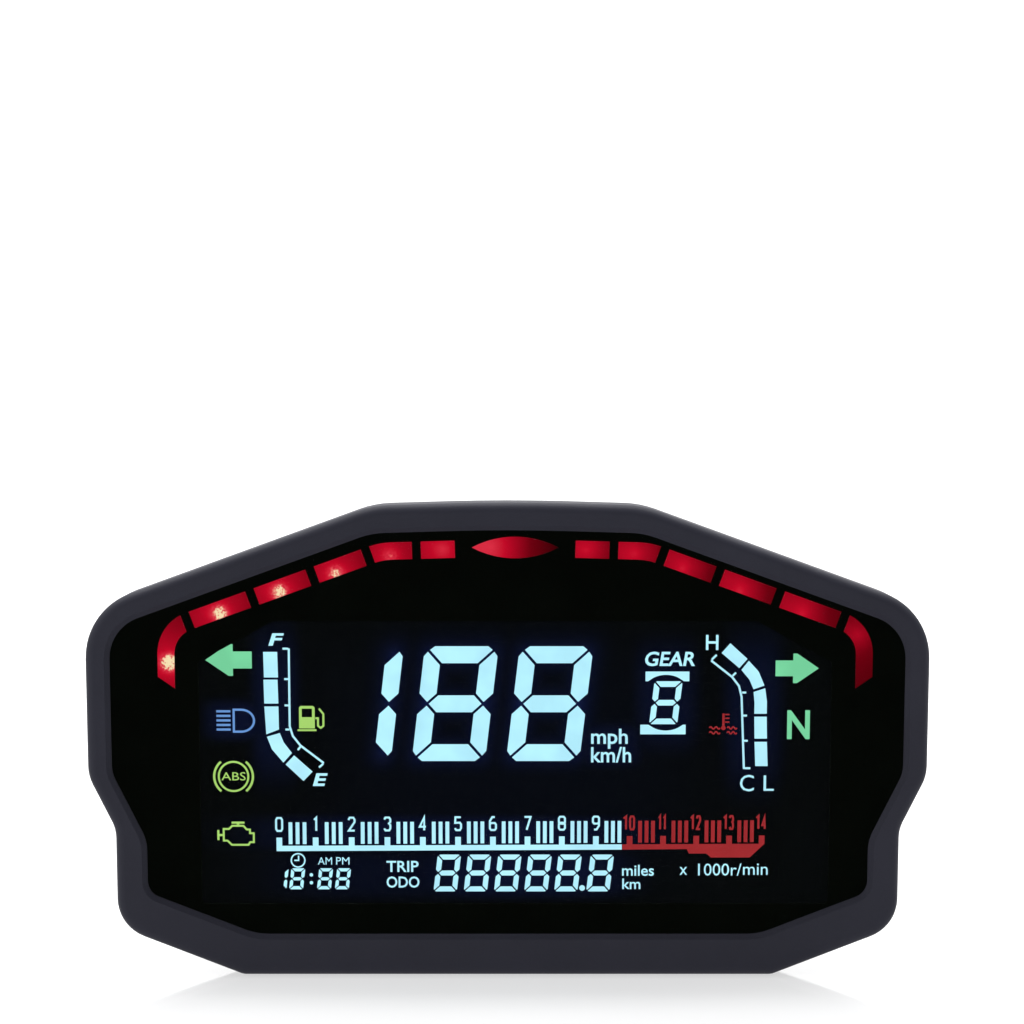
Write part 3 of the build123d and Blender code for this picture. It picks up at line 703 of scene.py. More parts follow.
@dataclass
class Artwork:
    """Flat ink shapes on the display's face that make one thin plate."""

    name: str
    material: bpy.types.Material
    face: float
    lift: float
    thickness: float = 0.02 * MM
    shapes: list = field(default_factory=list)

    def loops(self, *outlines: Sequence[Point]) -> None:
        """Fill the area inside closed outlines.

        Args:
            outlines: the outer outline and any holes in it.
        """
        curve = bpy.data.curves.new(self.name, "CURVE")
        curve.dimensions = "2D"
        curve.fill_mode = "BOTH"
        curve.extrude = self.thickness / 2
        for outline in outlines:
            spline = curve.splines.new("POLY")
            spline.points.add(len(outline) - 1)
            for point, (x, z) in zip(spline.points, outline):
                point.co = (x * MM, z * MM, 0.0, 1.0)
            spline.use_cyclic_u = True
        self.keep(bpy.data.objects.new(self.name, curve))

    def keep(self, thing: bpy.types.Object) -> None:
        """Link a shape that isn't linked yet, and remember it.

        Args:
            thing: the shape.
        """
        if not thing.users_collection:
            bpy.context.collection.objects.link(thing)
        self.shapes.append(thing)

    def line(self, points: Sequence[Point], width: float, closed: bool = False) -> None:
        """Draw a line of one width."""
        self.loops(*ribbon(points, width, closed))

    def ring(self, middle: Point, radius: float, width: float) -> None:
        """Draw a circle of one line width."""
        self.line(circle(middle, radius, 32), width, closed=True)

    def letters(self, words: str, left: float, right: float, low: float, high: float,
                lean: float = 0.0, weight: float = 0.02) -> None:
        """Set words into a box.

        Args:
            words: the text.
            left: left edge of the box.
            right: right edge.
            low: lower edge.
            high: upper edge.
            lean: how far the letters lean, as the font's shear.
            weight: how much the strokes are thickened, in letter heights.
        """
        bpy.ops.object.text_add()
        thing = bpy.context.object
        thing.data.body = words
        thing.data.shear = lean
        thing.data.offset = weight
        thing.data.resolution_u = 3
        thing.data.extrude = 0.5
        only(thing)
        bpy.ops.object.convert(target="MESH")
        corners = [Vector(corner) for corner in thing.bound_box]
        start = Vector(tuple(min(corner[axis] for corner in corners) for axis in range(3)))
        end = Vector(tuple(max(corner[axis] for corner in corners) for axis in range(3)))
        size = ((right - left) * MM, (high - low) * MM, self.thickness)
        thing.scale = tuple(want / (b - a) for want, a, b in zip(size, start, end))
        thing.location = (left * MM - start.x * thing.scale.x, low * MM - start.y * thing.scale.y, 0.0)
        settle(thing)
        self.keep(thing)

    def numeral(self, figures: str, left: float, right: float, low: float, high: float, width: float) -> None:
        """Draw condensed figures with strokes of one width into a box.

        Args:
            figures: the number's figures.
            left: left edge of the box.
            right: right edge.
            low: lower edge.
            high: upper edge.
            width: width of a stroke.
        """
        pitch = (right - left + FIGURE_SPACE) / len(figures)
        for index, figure in enumerate(figures):
            start = left + index * pitch + width / 2
            end = start + pitch - FIGURE_SPACE - width
            for stroke in FIGURES[figure]:
                points = []
                for u, v in stroke:
                    x = start + u * (end - start)
                    points.append((x, low + width / 2 + v * (high - low - width)))
                closed = points[0] == points[-1]
                self.line(points[:-1] if closed else points, width, closed)

    def digit(self, shape: "SegmentDigit", middle: Point, lit: str = "abcdefg") -> None:
        """Draw the lit segments of one seven-segment digit."""
        for outline in shape.outlines(middle, lit):
            self.loops(outline)

    def build(self) -> None:
        """Join the shapes into one plate that lies on the display's face."""
        curves = [thing for thing in self.shapes if thing.type == "CURVE"]
        if curves:
            only(*curves)
            bpy.ops.object.convert(target="MESH")
        only(*self.shapes)
        if len(self.shapes) > 1:
            bpy.ops.object.join()
        plate = bpy.context.view_layer.objects.active
        plate.matrix_world = Matrix.Translation((0, self.face - self.thickness / 2, self.lift)) @ Matrix.Rotation(
            math.radians(90), 4, "X")
        settle(plate)
        bpy.ops.object.mode_set(mode="EDIT")
        bpy.ops.mesh.select_all(action="SELECT")
        bpy.ops.mesh.remove_doubles(threshold=WELD / 2)
        bpy.ops.mesh.normals_make_consistent(inside=False)
        bpy.ops.object.mode_set(mode="OBJECT")
        plate.data.materials.clear()
        dress(plate, self.material)
        finish_piece(plate, self.name)


@dataclass(frozen=True)
class SegmentDigit:
    """Shape of a seven-segment digit, in millimetres."""

    width: float
    height: float
    thick: float
    gap: float
    corner: float
    lean: float = 0.119
    cut: float = 0.7       # how much of the gap a slanted cut takes from each side

    def outlines(self, middle: Point, lit: str) -> Iterable[list[Point]]:
        """Outlines of the lit segments.

        Args:
            middle: the digit's middle.
            lit: the segments' letters.

        Yields:
            One closed outline for each segment.
        """
        w, h, t = self.width / 2, self.height / 2, self.thick
        c, e = self.corner, self.gap * self.cut
        top = [(-w + (c + e) / 2, h - (c - e) / 2), (-w + c + e / 2, h), (w - c - e / 2, h),
               (w - (c + e) / 2, h - (c - e) / 2), (w - t - e, h - t), (-w + t + e, h - t)]
        upper_left = [(-w, h - c - e / 2), (-w + (c - e) / 2, h - (c + e) / 2), (-w + t, h - t - e),
                      (-w + t, t / 2 + e), (-w + t / 2, e), (-w, t / 2 + e)]
        middle_bar = [(-w + t / 2 + e, 0), (-w + t + e, t / 2), (w - t - e, t / 2),
                      (w - t / 2 - e, 0), (w - t - e, -t / 2), (-w + t + e, -t / 2)]
        shapes = {
            "a": top,
            "b": [(-x, z) for x, z in upper_left],
            "c": [(-x, -z) for x, z in upper_left],
            "d": [(x, -z) for x, z in top],
            "e": [(x, -z) for x, z in upper_left],
            "f": upper_left,
            "g": middle_bar,
        }
        for letter in lit:
            yield [(middle[0] + x + z * self.lean, middle[1] + z) for x, z in shapes[letter]]


class Ink(Enum):
    """Display colours: their linear light."""

    ICE = (0.50, 0.945, 1.10)
    GREEN = (0.20, 0.70, 0.37)
    BLUE = (0.15, 0.33, 0.72)
    LIME = (0.42, 0.72, 0.17)
    RED = (0.35, 0.026, 0.030)


@dataclass(frozen=True)
class TachometerScale:
    """Layout of the engine speed scale, in millimetres, on a line that climbs slightly to the right."""

    first: float = -42.55
    pitch: float = 6.80
    tightening: float = 0.0268
    slope: float = 0.0045
    count: int = 15
    first_red: int = 10
    change_before: float = 1.37
    half_post: float = 0.53
    half_bar: float = 0.35
    bar_shares: tuple[float, ...] = (0.31, 0.504, 0.697)
    bar_bottom: float = -20.79
    bar_top: float = -16.66
    post_top: float = -19.54
    line_bottom: float = -22.1
    line_top: float = -21.1
    numeral_low: float = -18.46
    numeral_high: float = -15.65
    stroke: float = 0.37
    post_foot: float = 0.1
    colour_gap: float = 0.08
    nudge: float = -0.2        # of the numbers with two figures

    def post(self, number: int) -> float:
        """Where a numeral's post stands."""
        return self.first + self.pitch * number - self.tightening * number * number

    def climb(self, x: float) -> float:
        """How far the scale has climbed at a place."""
        return (x - self.first) * self.slope

    def half_width(self, number: int) -> float:
        """Half the width of a numeral.

        Args:
            number: the number that it shows.

        Returns:
            Millimetres.
        """
        if number > 9:
            return {10: 1.2, 11: 0.8}.get(number, 1.08)
        return 0.5 if number == 1 else 0.75

    def bar(self, x: float, half: float, bottom: float, top: float) -> list[Point]:
        """Outline of an upright bar."""
        low, high = bottom + self.climb(x), top + self.climb(x)
        return [(x - half, high), (x + half, high), (x + half, low), (x - half, low)]

    def line(self, left: float, right: float) -> list[Point]:
        """Outline of part of the baseline, from its upper left corner."""
        corners = ((left, self.line_top), (right, self.line_top), (right, self.line_bottom), (left, self.line_bottom))
        return [(x, z + self.climb(x)) for x, z in corners]


@dataclass
class DisplayFace:
    """Everything that the display shows, each group a thin plate on the front polariser."""

    face: float
    lift: float
    big: SegmentDigit = SegmentDigit(13.6, 21.4, 3.15, 0.5, 1.7)
    small: SegmentDigit = SegmentDigit(4.35, 7.0, 0.95, 0.25, 0.4)
    gear: SegmentDigit = SegmentDigit(5.2, 8.0, 1.05, 0.3, 0.4)
    hours: SegmentDigit = SegmentDigit(2.6, 4.0, 0.6, 0.18, 0.25)

    def __post_init__(self) -> None:
        """Make one lit material for each ink."""
        self.inks = {ink: LitInk(f"lit_{ink.name.lower()}", ink.value).material() for ink in Ink}

    def art(self, name: str, ink: Ink) -> Artwork:
        """Start a group of one colour."""
        return Artwork(name, self.inks[ink], self.face, self.lift)

    def build(self) -> None:
        """Make every group."""
        for group in (self.speed, self.gear_sign, self.fuel_gauge, self.heat_gauge, self.tachometer,
                      self.trip_line, self.arrows, self.high_beam, self.lime_signs, self.coolant_sign):
            group()

    def speed(self) -> None:
        """The large speed digits and their units."""
        art = self.art("display_speed", Ink.ICE)
        first, pitch, middle = -27.2, 17.5, 5.6
        art.digit(self.big, (first, middle), "bc")
        art.digit(self.big, (first + pitch, middle))
        art.digit(self.big, (first + 2 * pitch, middle))
        art.letters("mph", 15.5, 22.3, -2.8, 0.95, weight=0.015)
        art.letters("km/h", 15.5, 22.95, -5.4, -2.45, weight=0.015)
        art.build()

    def gear_sign(self) -> None:
        """The gear digit between its brackets, under its title."""
        art = self.art("display_gear", Ink.ICE)
        art.letters("GEAR", 25.4, 34.6, 12.6, 15.3, lean=0.16, weight=0.02)
        middle = (29.3, 5.8)
        art.digit(self.gear, middle)
        reach = 5.2
        spread = 26.0
        for side, left, right, near, far in ((1, 25.5, 33.6, 4.0, 5.8), (-1, 24.6, 33.0, -4.1, -5.9)):
            mouth = arc(middle, reach, side * (90 + spread), side * (90 - spread), 10)
            near_z, far_z = middle[1] + near, middle[1] + far
            bitten = [point for point in mouth if side * (point[1] - near_z) > 0]
            ends = math.sqrt(reach * reach - near * near)
            art.loops([(left, near_z), (middle[0] - ends, near_z), *bitten, (middle[0] + ends, near_z),
                       (right, near_z), (right, far_z), (left, far_z)])
        art.build()

    def fuel_gauge(self) -> None:
        """Fuel bars, their scale and its two letters."""
        art = self.art("display_fuel_gauge", Ink.ICE)
        art.letters("F", -44.1, -41.2, 16.4, 18.7, lean=0.2, weight=0.03)
        art.letters("E", -36.2, -33.4, -9.8, -7.4, lean=0.2, weight=0.03)
        left, right = -45.1, -42.5
        for top, bottom in ((15.25, 10.5), (10.1, 5.65)):
            art.loops([(left, top), (right, top), (right + 0.1, bottom), (left + 0.1, bottom)])
        art.loops([(left + 0.1, 5.1), (right + 0.1, 5.1), (right + 0.15, 0.8), (left + 0.4, -0.1)])
        art.loops([(-44.6, -0.55), (-42.2, 0.15), (-41.5, -1.6), (-40.0, -3.6), (-41.6, -5.4), (-43.7, -2.9)])
        art.loops([(-39.6, -4.05), (-36.2, -7.1), (-37.9, -8.85), (-41.2, -5.75)])
        line = 0.38
        curve = [(-40.35, 15.9), (-40.35, 1.4), (-39.8, -0.4), (-38.4, -2.2), (-34.1, -5.5)]
        art.line(curve, line)
        art.line([(-41.5, 15.85), (-40.5, 15.85)], line)
        for x, z in ((-40.5, 10.2), (-40.5, 5.3), (-40.4, 0.8)):
            art.line([(x - 0.75, z), (x, z)], line)
        art.line([(-38.9, -3.05), (-38.4, -2.4)], line)
        art.line([(-35.0, -6.3), (-34.2, -5.6)], line)
        art.build()

    def heat_gauge(self) -> None:
        """Coolant temperature bars, their scale and its letters."""
        art = self.art("display_heat_gauge", Ink.ICE)
        art.letters("H", 36.6, 38.9, 15.6, 18.4, weight=0.01)
        art.letters("C", 43.2, 45.8, -10.8, -7.7, weight=0.0)
        art.letters("L", 47.6, 49.5, -10.7, -7.8, weight=0.0)
        art.loops([(41.1, 16.85), (44.3, 13.95), (42.8, 12.25), (39.5, 15.05)])
        art.loops([(44.55, 13.6), (46.4, 11.6), (47.5, 9.0), (45.5, 8.3), (44.7, 10.1), (43.2, 11.9)])
        art.loops([(47.65, 8.5), (48.0, 6.0), (48.0, 3.75), (45.7, 3.75), (45.7, 5.9), (45.5, 7.8)])
        art.loops([(48.0, 3.2), (48.1, -0.9), (45.8, -0.9), (45.7, 3.2)])
        art.loops([(48.1, -1.5), (48.3, -6.05), (46.0, -6.05), (45.8, -1.5)])
        line = 0.38
        art.line([(37.6, 13.65), (41.5, 10.6), (42.8, 8.9), (43.3, 6.9), (43.9, -6.6)], line)
        art.line([(37.7, 13.8), (38.6, 14.7)], line)
        art.line([(44.0, -6.45), (45.1, -6.45)], line)
        art.line([(41.6, 10.8), (42.2, 11.4)], line)
        for x, z in ((43.4, 7.7), (43.6, 3.4), (43.8, -1.3)):
            art.line([(x, z), (x + 0.75, z)], line)
        art.build()

    def tachometer(self) -> None:
        """The engine speed scale: numerals, posts, bars and baseline, in two colours."""
        cool = self.art("display_tachometer", Ink.ICE)
        hot = self.art("display_tachometer_red", Ink.RED)
        scale = TachometerScale()
        for number in range(scale.count):
            art = hot if number >= scale.first_red else cool
            x = scale.post(number)
            art.loops(scale.bar(x, scale.half_post, scale.line_top - scale.post_foot, scale.post_top))
            half = scale.half_width(number)
            low, high = (level + scale.climb(x) for level in (scale.numeral_low, scale.numeral_high))
            middle = x + scale.nudge if number > 9 else x
            art.numeral(str(number), middle - half, middle + half, low, high, scale.stroke)
            if number < scale.count - 1:
                step = scale.post(number + 1) - x
                for share in scale.bar_shares:
                    art.loops(scale.bar(x + share * step, scale.half_bar, scale.bar_bottom, scale.bar_top))
        start = scale.post(0) - scale.half_post
        change = scale.post(scale.first_red) - scale.change_before
        end = scale.post(scale.count - 1) + scale.half_post
        cool.loops(scale.line(start, change - scale.colour_gap))
        top_left, top_right = scale.line(change, end)[:2]
        low = scale.line_bottom + scale.climb(change)
        hot.loops([top_left, top_right, (45.2, -23.3), (37.95, -23.3), (37.1, -22.55), (33.85, -22.55),
                   (33.45, low + 0.1), (change, low)])
        cool.build()
        hot.build()

    def trip_line(self) -> None:
        """Clock, trip and odometer line with its small words."""
        art = self.art("display_trip_line", Ink.ICE)
        dial = (-39.1, -23.85)
        art.ring(dial, 1.27, 0.26)
        art.line([(dial[0] + 0.1, dial[1] + 0.9), (dial[0] + 0.1, dial[1]), (dial[0] - 0.7, dial[1])], 0.26)
        for word in (
            ("AM", -35.4, -32.75, -24.65, -23.25, 0.0, 0.0),
            ("PM", -32.0, -29.5, -24.65, -23.25, 0.0, 0.0),
            ("TRIP", -22.6, -16.6, -26.05, -23.95, 0.0, 0.015),
            ("ODO", -22.6, -16.45, -29.05, -26.9, 0.0, 0.015),
            ("miles", 21.4, 27.35, -26.8, -24.7, 0.0, 0.01),
            ("km", 21.45, 24.85, -29.3, -27.3, 0.0, 0.01),
            ("x", 32.15, 33.55, -26.6, -25.1, 0.0, 0.0),
            ("1000r/", 35.6, 43.7, -26.75, -24.45, 0.0, 0.0),
            ("min", 44.0, 48.6, -26.6, -24.45, 0.0, 0.0),
        ):
            art.letters(*word)
        height = -27.35
        for x, lit in ((-42.4, "bc"), (-39.3, "abcdefg"), (-34.1, "abcdefg"), (-30.75, "abcdefg")):
            art.digit(self.hours, (x, height), lit)
        for z in (-26.6, -28.1):
            art.loops(circle((-36.65, z), 0.33, 12))
        for x in (-11.25, -5.6, 0.05, 5.7, 11.3, 17.3):
            art.digit(self.small, (x, -26.25))
        art.loops(circle((13.95, -29.1), 0.55, 12))
        art.build()

    def arrows(self) -> None:
        """Turn signal arrows and the neutral letter."""
        art = self.art("display_green_signs", Ink.GREEN)
        for tip, way, middle, size in ((-55.8, 1, 13.75, 1.0), (57.5, -1, 12.2, 0.93)):
            upper = [(0.0, 0.0), (4.3, 2.95), (5.1, 2.95), (5.1, 1.58), (8.6, 1.58)]
            lower = [(x, -z) for x, z in reversed(upper[1:])]
            art.loops([(tip + way * size * x, middle + size * z) for x, z in upper + lower])
        art.letters("N", 51.8, 56.0, -1.0, 4.4, weight=0.025)
        art.build()

    def high_beam(self) -> None:
        """Main beam lamp with its five rays."""
        art = self.art("display_high_beam", Ink.BLUE)
        for z in (4.2, 3.35, 2.5, 1.65, 0.8):
            art.line([(-53.9, z), (-51.3, z)], 0.42)
        bowl = arc((-49.3, 2.45), 2.05, 90, -90, 14)
        bowl = [(-49.3 + (x + 49.3) * 1.15, z) for x, z in bowl]
        art.line([(-50.7, 4.5), *bowl, (-50.7, 0.4)], 0.4, closed=True)
        art.build()

    def lime_signs(self) -> None:
        """Anti-lock brake, engine and fuel pump signs."""
        art = self.art("display_lime_signs", Ink.LIME)
        middle = (-50.9, -8.0)
        art.ring(middle, 2.75, 0.36)
        for start in (130, -50):
            art.line(arc(middle, 3.6, start, start + 100, 12), 0.42)
        art.letters("ABS", middle[0] - 2.25, middle[0] + 2.25, -8.75, -7.2, weight=0.0)
        engine = [(-52.9, -17.9), (-51.9, -17.9), (-51.3, -17.3), (-49.2, -17.3), (-48.6, -18.0), (-48.0, -18.0),
                  (-48.0, -18.7), (-47.3, -18.7), (-47.3, -20.4), (-48.0, -20.4), (-48.3, -20.9), (-51.4, -20.9),
                  (-52.2, -20.1), (-52.9, -20.1)]
        art.line(engine, 0.35, closed=True)
        art.line([(-51.4, -16.7), (-49.0, -16.7)], 0.38)
        art.line([(-50.2, -16.9), (-50.2, -17.1)], 0.5)
        art.line([(-53.9, -18.1), (-53.9, -20.0)], 0.4)
        art.line([(-53.7, -19.05), (-53.1, -19.05)], 0.4)
        pump_left, pump_right = -38.6, -35.7
        art.loops(
            [(pump_left, 4.9), (pump_left + 0.3, 5.2), (pump_right - 0.3, 5.2), (pump_right, 4.9),
             (pump_right, 1.0), (pump_left, 1.0)],
            [(pump_left + 0.5, 4.7), (pump_right - 0.5, 4.7), (pump_right - 0.5, 3.1), (pump_left + 0.5, 3.1)],
        )
        art.loops([(pump_left - 0.3, 0.85), (pump_right + 0.3, 0.85), (pump_right + 0.3, 0.5),
                   (pump_left - 0.3, 0.5)])
        art.line([(pump_right + 0.1, 2.9), (-35.1, 2.9), (-35.1, 1.5), (-34.6, 1.1), (-34.1, 1.5), (-34.1, 3.7),
                  (-34.9, 4.7)], 0.36)
        art.build()

    def coolant_sign(self) -> None:
        """Coolant thermometer over its waves."""
        art = self.art("display_coolant_sign", Ink.RED)
        art.line([(40.0, 3.8), (40.0, 1.2)], 0.42)
        art.loops(arc((40.0, 1.1), 0.42, 0, 345, 15))
        for z in (3.6, 2.9, 2.2):
            art.line([(40.3, z), (41.1, z)], 0.26)
        for z in (1.1, 0.2):
            for start, end in ((37.4, 39.4), (40.7, 42.5)):
                shares = [step / 12 for step in range(13)]
                art.line([(start + (end - start) * share, z + 0.22 * math.sin(4 * math.pi * share))
                          for share in shares], 0.26)
        art.build()


# ---- shift lights
@dataclass(frozen=True)
class ShiftLights:
    """The red windows from left to right, each with its own lamp's hot spot."""

    lamps: tuple[Lamp, ...] = (
        Lamp(0.42, 0.38, 0.80, 0.38),
        Lamp(0.50, 0.42, 0.50, 0.36),
        Lamp(0.46, 0.38, 0.48, 0.36),
        Lamp(0.43, 0.32, 0.32, 0.34),
        Lamp(0.50, 0.35, 0.12, 0.32),
        Lamp(0.62, 0.50, 0.0, 0.38),
        Lamp(0.25, 0.50, 0.0, 0.25, 0.44, 0.034),
        Lamp(0.35, 0.50, 0.0, 0.32, 0.22, 0.014),
        Lamp(0.40, 0.45, 0.0, 0.32, 0.22, 0.014),
        Lamp(0.38, 0.45, 0.03, 0.30, 0.22, 0.014),
        Lamp(0.38, 0.42, 0.04, 0.32, 0.22, 0.014),
        Lamp(0.38, 0.42, 0.02, 0.30, 0.22, 0.014),
        Lamp(0.50, 0.72, 0.0, 0.30, 0.13),
    )

    def build(self) -> None:
        """Dress each diffuser."""
        for number, lamp in enumerate(self.lamps, start=1):
            name = f"shift_diffuser_{number:02d}"
            low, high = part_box(name)
            size = high - low
            spot = Vector((low.x + lamp.across * size.x, low.y, low.z + lamp.up * size.z))
            finish = RedWindow(f"red_window_{number:02d}", spot, lamp)
            dress(frame["nodes"][name], finish.material())
            log.info("%s lit", name)


# ---- fasteners
@dataclass
class MountingStuds:
    """Three studs with rolled M6 threads and a plain shank in the insert."""

    pitch: float = 1.0 * MM
    minor: float = 2.45 * MM
    steps: int = 36
    facets: int = 48
    lead: float = 0.8 * MM
    lead_depth: float = 0.25 * MM
    shank_radius: float = 3.5 * MM
    shank_edge: float = 0.2 * MM

    def build(self, finish: bpy.types.Material) -> None:
        """Model one stud and copy it to the three places.

        Args:
            finish: the studs' metal.
        """
        low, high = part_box("mounting_studs")
        pins = frame["record"]["mounts"][0]["dims"]
        radius = pins["stud_r_mm"] * MM
        circle = pins["pcd_mm"] / 2 * MM
        stud = self.threaded_rod(radius, high.y)
        shank = self.shank(-low.y)
        only(stud, shank)
        bpy.ops.object.join()
        copies = []
        for index in range(pins["count"]):
            angle = math.radians(90 + index * 360 / pins["count"])
            copy = stud.copy()
            copy.data = stud.data.copy()
            bpy.context.collection.objects.link(copy)
            copy.location = (circle * math.cos(angle), 0.0, circle * math.sin(angle))
            settle(copy)
            copies.append(copy)
        bpy.data.objects.remove(stud)
        only(*copies)
        bpy.ops.object.join()
        dress(copies[0], finish)
        finish_piece(copies[0], "threaded_studs")
        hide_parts("mounting_studs")

    def threaded_rod(self, radius: float, length: float) -> bpy.types.Object:
        """Wind a threaded rod along +Y from the mounting plane.

        Args:
            radius: the thread's outer radius.
            length: the rod's length.

        Returns:
            The rod, with a lead-in at its end.
        """
        turns = int(length / self.pitch) + 3     # a turn and a half too long at each end, then cut
        mesh = bpy.data.meshes.new("thread")
        start = -1.5 * self.pitch
        crest = self.pitch / 8
        profile = [(self.minor, 0.0), (radius, self.pitch / 2 - crest), (radius, self.pitch / 2 + crest),
                   (self.minor, self.pitch)]
        mesh.from_pydata([(r, 0.0, start + z) for r, z in profile], [(0, 1), (1, 2), (2, 3)], [])
        rod = bpy.data.objects.new("thread", mesh)
        bpy.context.collection.objects.link(rod)
        modify(rod, "SCREW", axis="Z", screw_offset=self.pitch, iterations=turns, steps=self.steps,
               render_steps=self.steps, use_merge_vertices=True, merge_threshold=WELD)
        bpy.ops.object.mode_set(mode="EDIT")
        bpy.ops.mesh.select_all(action="SELECT")
        bpy.ops.mesh.remove_doubles(threshold=WELD)
        for height, way in ((0.0, 1.0), (length, -1.0)):
            bpy.ops.mesh.select_all(action="SELECT")
            bpy.ops.mesh.bisect(plane_co=(0, 0, height), plane_no=(0, 0, way), use_fill=True, clear_inner=True,
                                threshold=WELD / 10)
        bpy.ops.mesh.select_all(action="SELECT")
        bpy.ops.mesh.normals_make_consistent(inside=False)
        bpy.ops.object.mode_set(mode="OBJECT")
        for vertex in rod.data.vertices:
            left = length - vertex.co.z
            reach = math.hypot(vertex.co.x, vertex.co.y)
            limit = self.minor - self.lead_depth + max(left, 0.0)
            if left < self.lead and reach > limit:
                vertex.co.x *= limit / reach
                vertex.co.y *= limit / reach
        rod.rotation_euler = (math.radians(-90), 0.0, 0.0)
        settle(rod)
        return rod

    def shank(self, depth: float) -> bpy.types.Object:
        """Turn the plain shank that runs forward into the insert.

        Args:
            depth: how deep it goes.

        Returns:
            The shank, with eased edges.
        """
        bpy.ops.mesh.primitive_cylinder_add(vertices=self.facets, radius=self.shank_radius, depth=depth,
                                            location=(0, -depth / 2, 0), rotation=(math.radians(90), 0, 0))
        shank = bpy.context.object
        modify(shank, "BEVEL", width=self.shank_edge, segments=2)
        settle(shank)
        return shank


# ---- case
@dataclass
class Case:
    """The CAD nodes that stay, each with its finish."""

    lift: float
    made: dict = field(default_factory=dict)
    dark_parts: tuple = (     # slot, shade, roughness and specular level
        ("seal_rubber", 0.012, 0.65, 0.5),
        ("isolator_rubber", 0.014, 0.7, 0.3),
        ("gasket_adhesive", 0.004, 0.8, 0.1),
        ("contact_rubber", 0.05, 0.6, 0.5),
        ("chip_black", 0.012, 0.45, 0.5),
        ("switch_plastic", 0.015, 0.45, 0.5),
    )

    def build(self) -> None:
        """Dress every node by its material slot."""
        self.made = {finish.name: finish.material() for finish in self.finishes()}
        for row in frame["record"]["subparts"]:
            if row["material_slot"] in self.made:
                dress(frame["nodes"][row["node"]], self.made[row["material_slot"]])

    def finishes(self) -> tuple["Finish", ...]:
        """List the finishes, each named after its material slot.

        Returns:
            One finish for each slot, but for the shift lights' own.
        """
        white = (0.75, 0.75, 0.73)
        dark = [Moulded(name, (shade, shade, shade), roughness, Relief.SATIN, specular)
                for name, shade, roughness, specular in self.dark_parts]
        return (
            *dark,
            Moulded("bezel_plastic", (0.0240, 0.0240, 0.0345), 0.5, Relief.FINE, 0.12),
            Moulded("housing_plastic", (0.012, 0.012, 0.0135), 0.55, Relief.COARSE, 0.4),
            Moulded("key_rubber", (0.02, 0.02, 0.021), 0.6, Relief.SATIN, 0.4),
            Metal("screw_steel", (0.5, 0.5, 0.52), 0.32),
            Metal("stud_steel", (0.6, 0.6, 0.58), 0.28),
            Metal("insert_brass", (0.70, 0.50, 0.22), 0.3),
            Metal("pin_brass", (0.78, 0.66, 0.42), 0.25),
            Metal("can_aluminium", (0.75, 0.75, 0.75), 0.35),
            Metal("crystal_steel", (0.65, 0.65, 0.63), 0.3),
            ClearCover("lens_clear", bend=1.04),
            ClearCover("lcd_glass", (0.85, 0.9, 0.9), 1.5),
            ClearCover("guide_acrylic", (0.95, 0.97, 0.97), 1.49, 0.05),
            # The mask's emission is a painted sheen: it stands in for the light that the black print doesn't get
            # through the lens.
            Glowing("mask_black", (0.008, 0.009, 0.008), (0.0013, 0.0018, 0.0012), 0.008, 1.3, 0.8, (0.3, 0.36)),
            DarkDisplay("polariser_dark", self.lift, self.halos()),
            Moulded("light_box_white", white, 0.5, Relief.SATIN, mottle=0.04),
            Moulded("led_white", (0.8, 0.78, 0.6), 0.3, Relief.SATIN, mottle=0.05),
            Moulded("sheet_white", white, 0.4, Relief.SATIN, mottle=0.03),
            Moulded("frame_plastic", (0.012, 0.012, 0.012), 0.5),
            Moulded("board_green", (0.01, 0.09, 0.035), 0.3, Relief.SATIN),
            Moulded("socket_nylon", (0.014, 0.014, 0.015), 0.42, Relief.SATIN),
            Moulded("vent_plastic", (0.016, 0.016, 0.017), 0.5, Relief.SATIN),
            Moulded("membrane_white", white, 0.8, Relief.SATIN),
        )

    def halos(self) -> tuple[Union[Halo, DigitHalo], ...]:
        """List the places where stray light shows.

        Returns:
            One halo for each lit group, and a faint one for them all.
        """
        return (
            DigitHalo((-9.7, 5.6), 5.3, 9.1, 0.119),
            DigitHalo((7.8, 5.6), 5.3, 9.1, 0.119),
            DigitHalo((-22.0, 5.6), 0.0, 9.1, 0.119, strength=0.8),
            Halo((19.0, -2.2), (5.5, 4.0), 0.35),
            Halo((-50.6, 2.5), (5.0, 3.4), 0.4),
            Halo((29.3, 7.0), (5.5, 9.5), 0.3),
            Halo((-43.0, 5.5), (4.0, 13.0), 0.35),
            Halo((45.5, 4.0), (5.0, 13.5), 0.3),
            Halo((-10.0, -18.8), (34.0, 3.2), 0.45),
            Halo((3.0, -26.3), (18.5, 4.2), 0.45),
            Halo((-20.0, -26.5), (24.0, 4.5), 0.16),
            Halo((0.0, -6.0), (34.0, 22.0), 0.05),
        )


# ---- studio
@dataclass(frozen=True)
class Softbox:
    """An area light: its place, what it faces, its size and its power."""

    name: str
    place: tuple[float, float, float]
    size: tuple[float, float]
    power: float
    target: tuple[float, float, float] = (0.0, 0.0, 0.0)

    def build(self) -> None:
        """Hang the light."""
        data = bpy.data.lights.new(self.name, "AREA")
        data.shape = "RECTANGLE"
        data.size, data.size_y = self.size
        data.energy = self.power
        light = bpy.data.objects.new(self.name, data)
        light.location = self.place
        way = Vector(self.target) - Vector(self.place)
        light.rotation_euler = way.to_track_quat("-Z", "Y").to_euler()
        bpy.context.collection.objects.link(light)


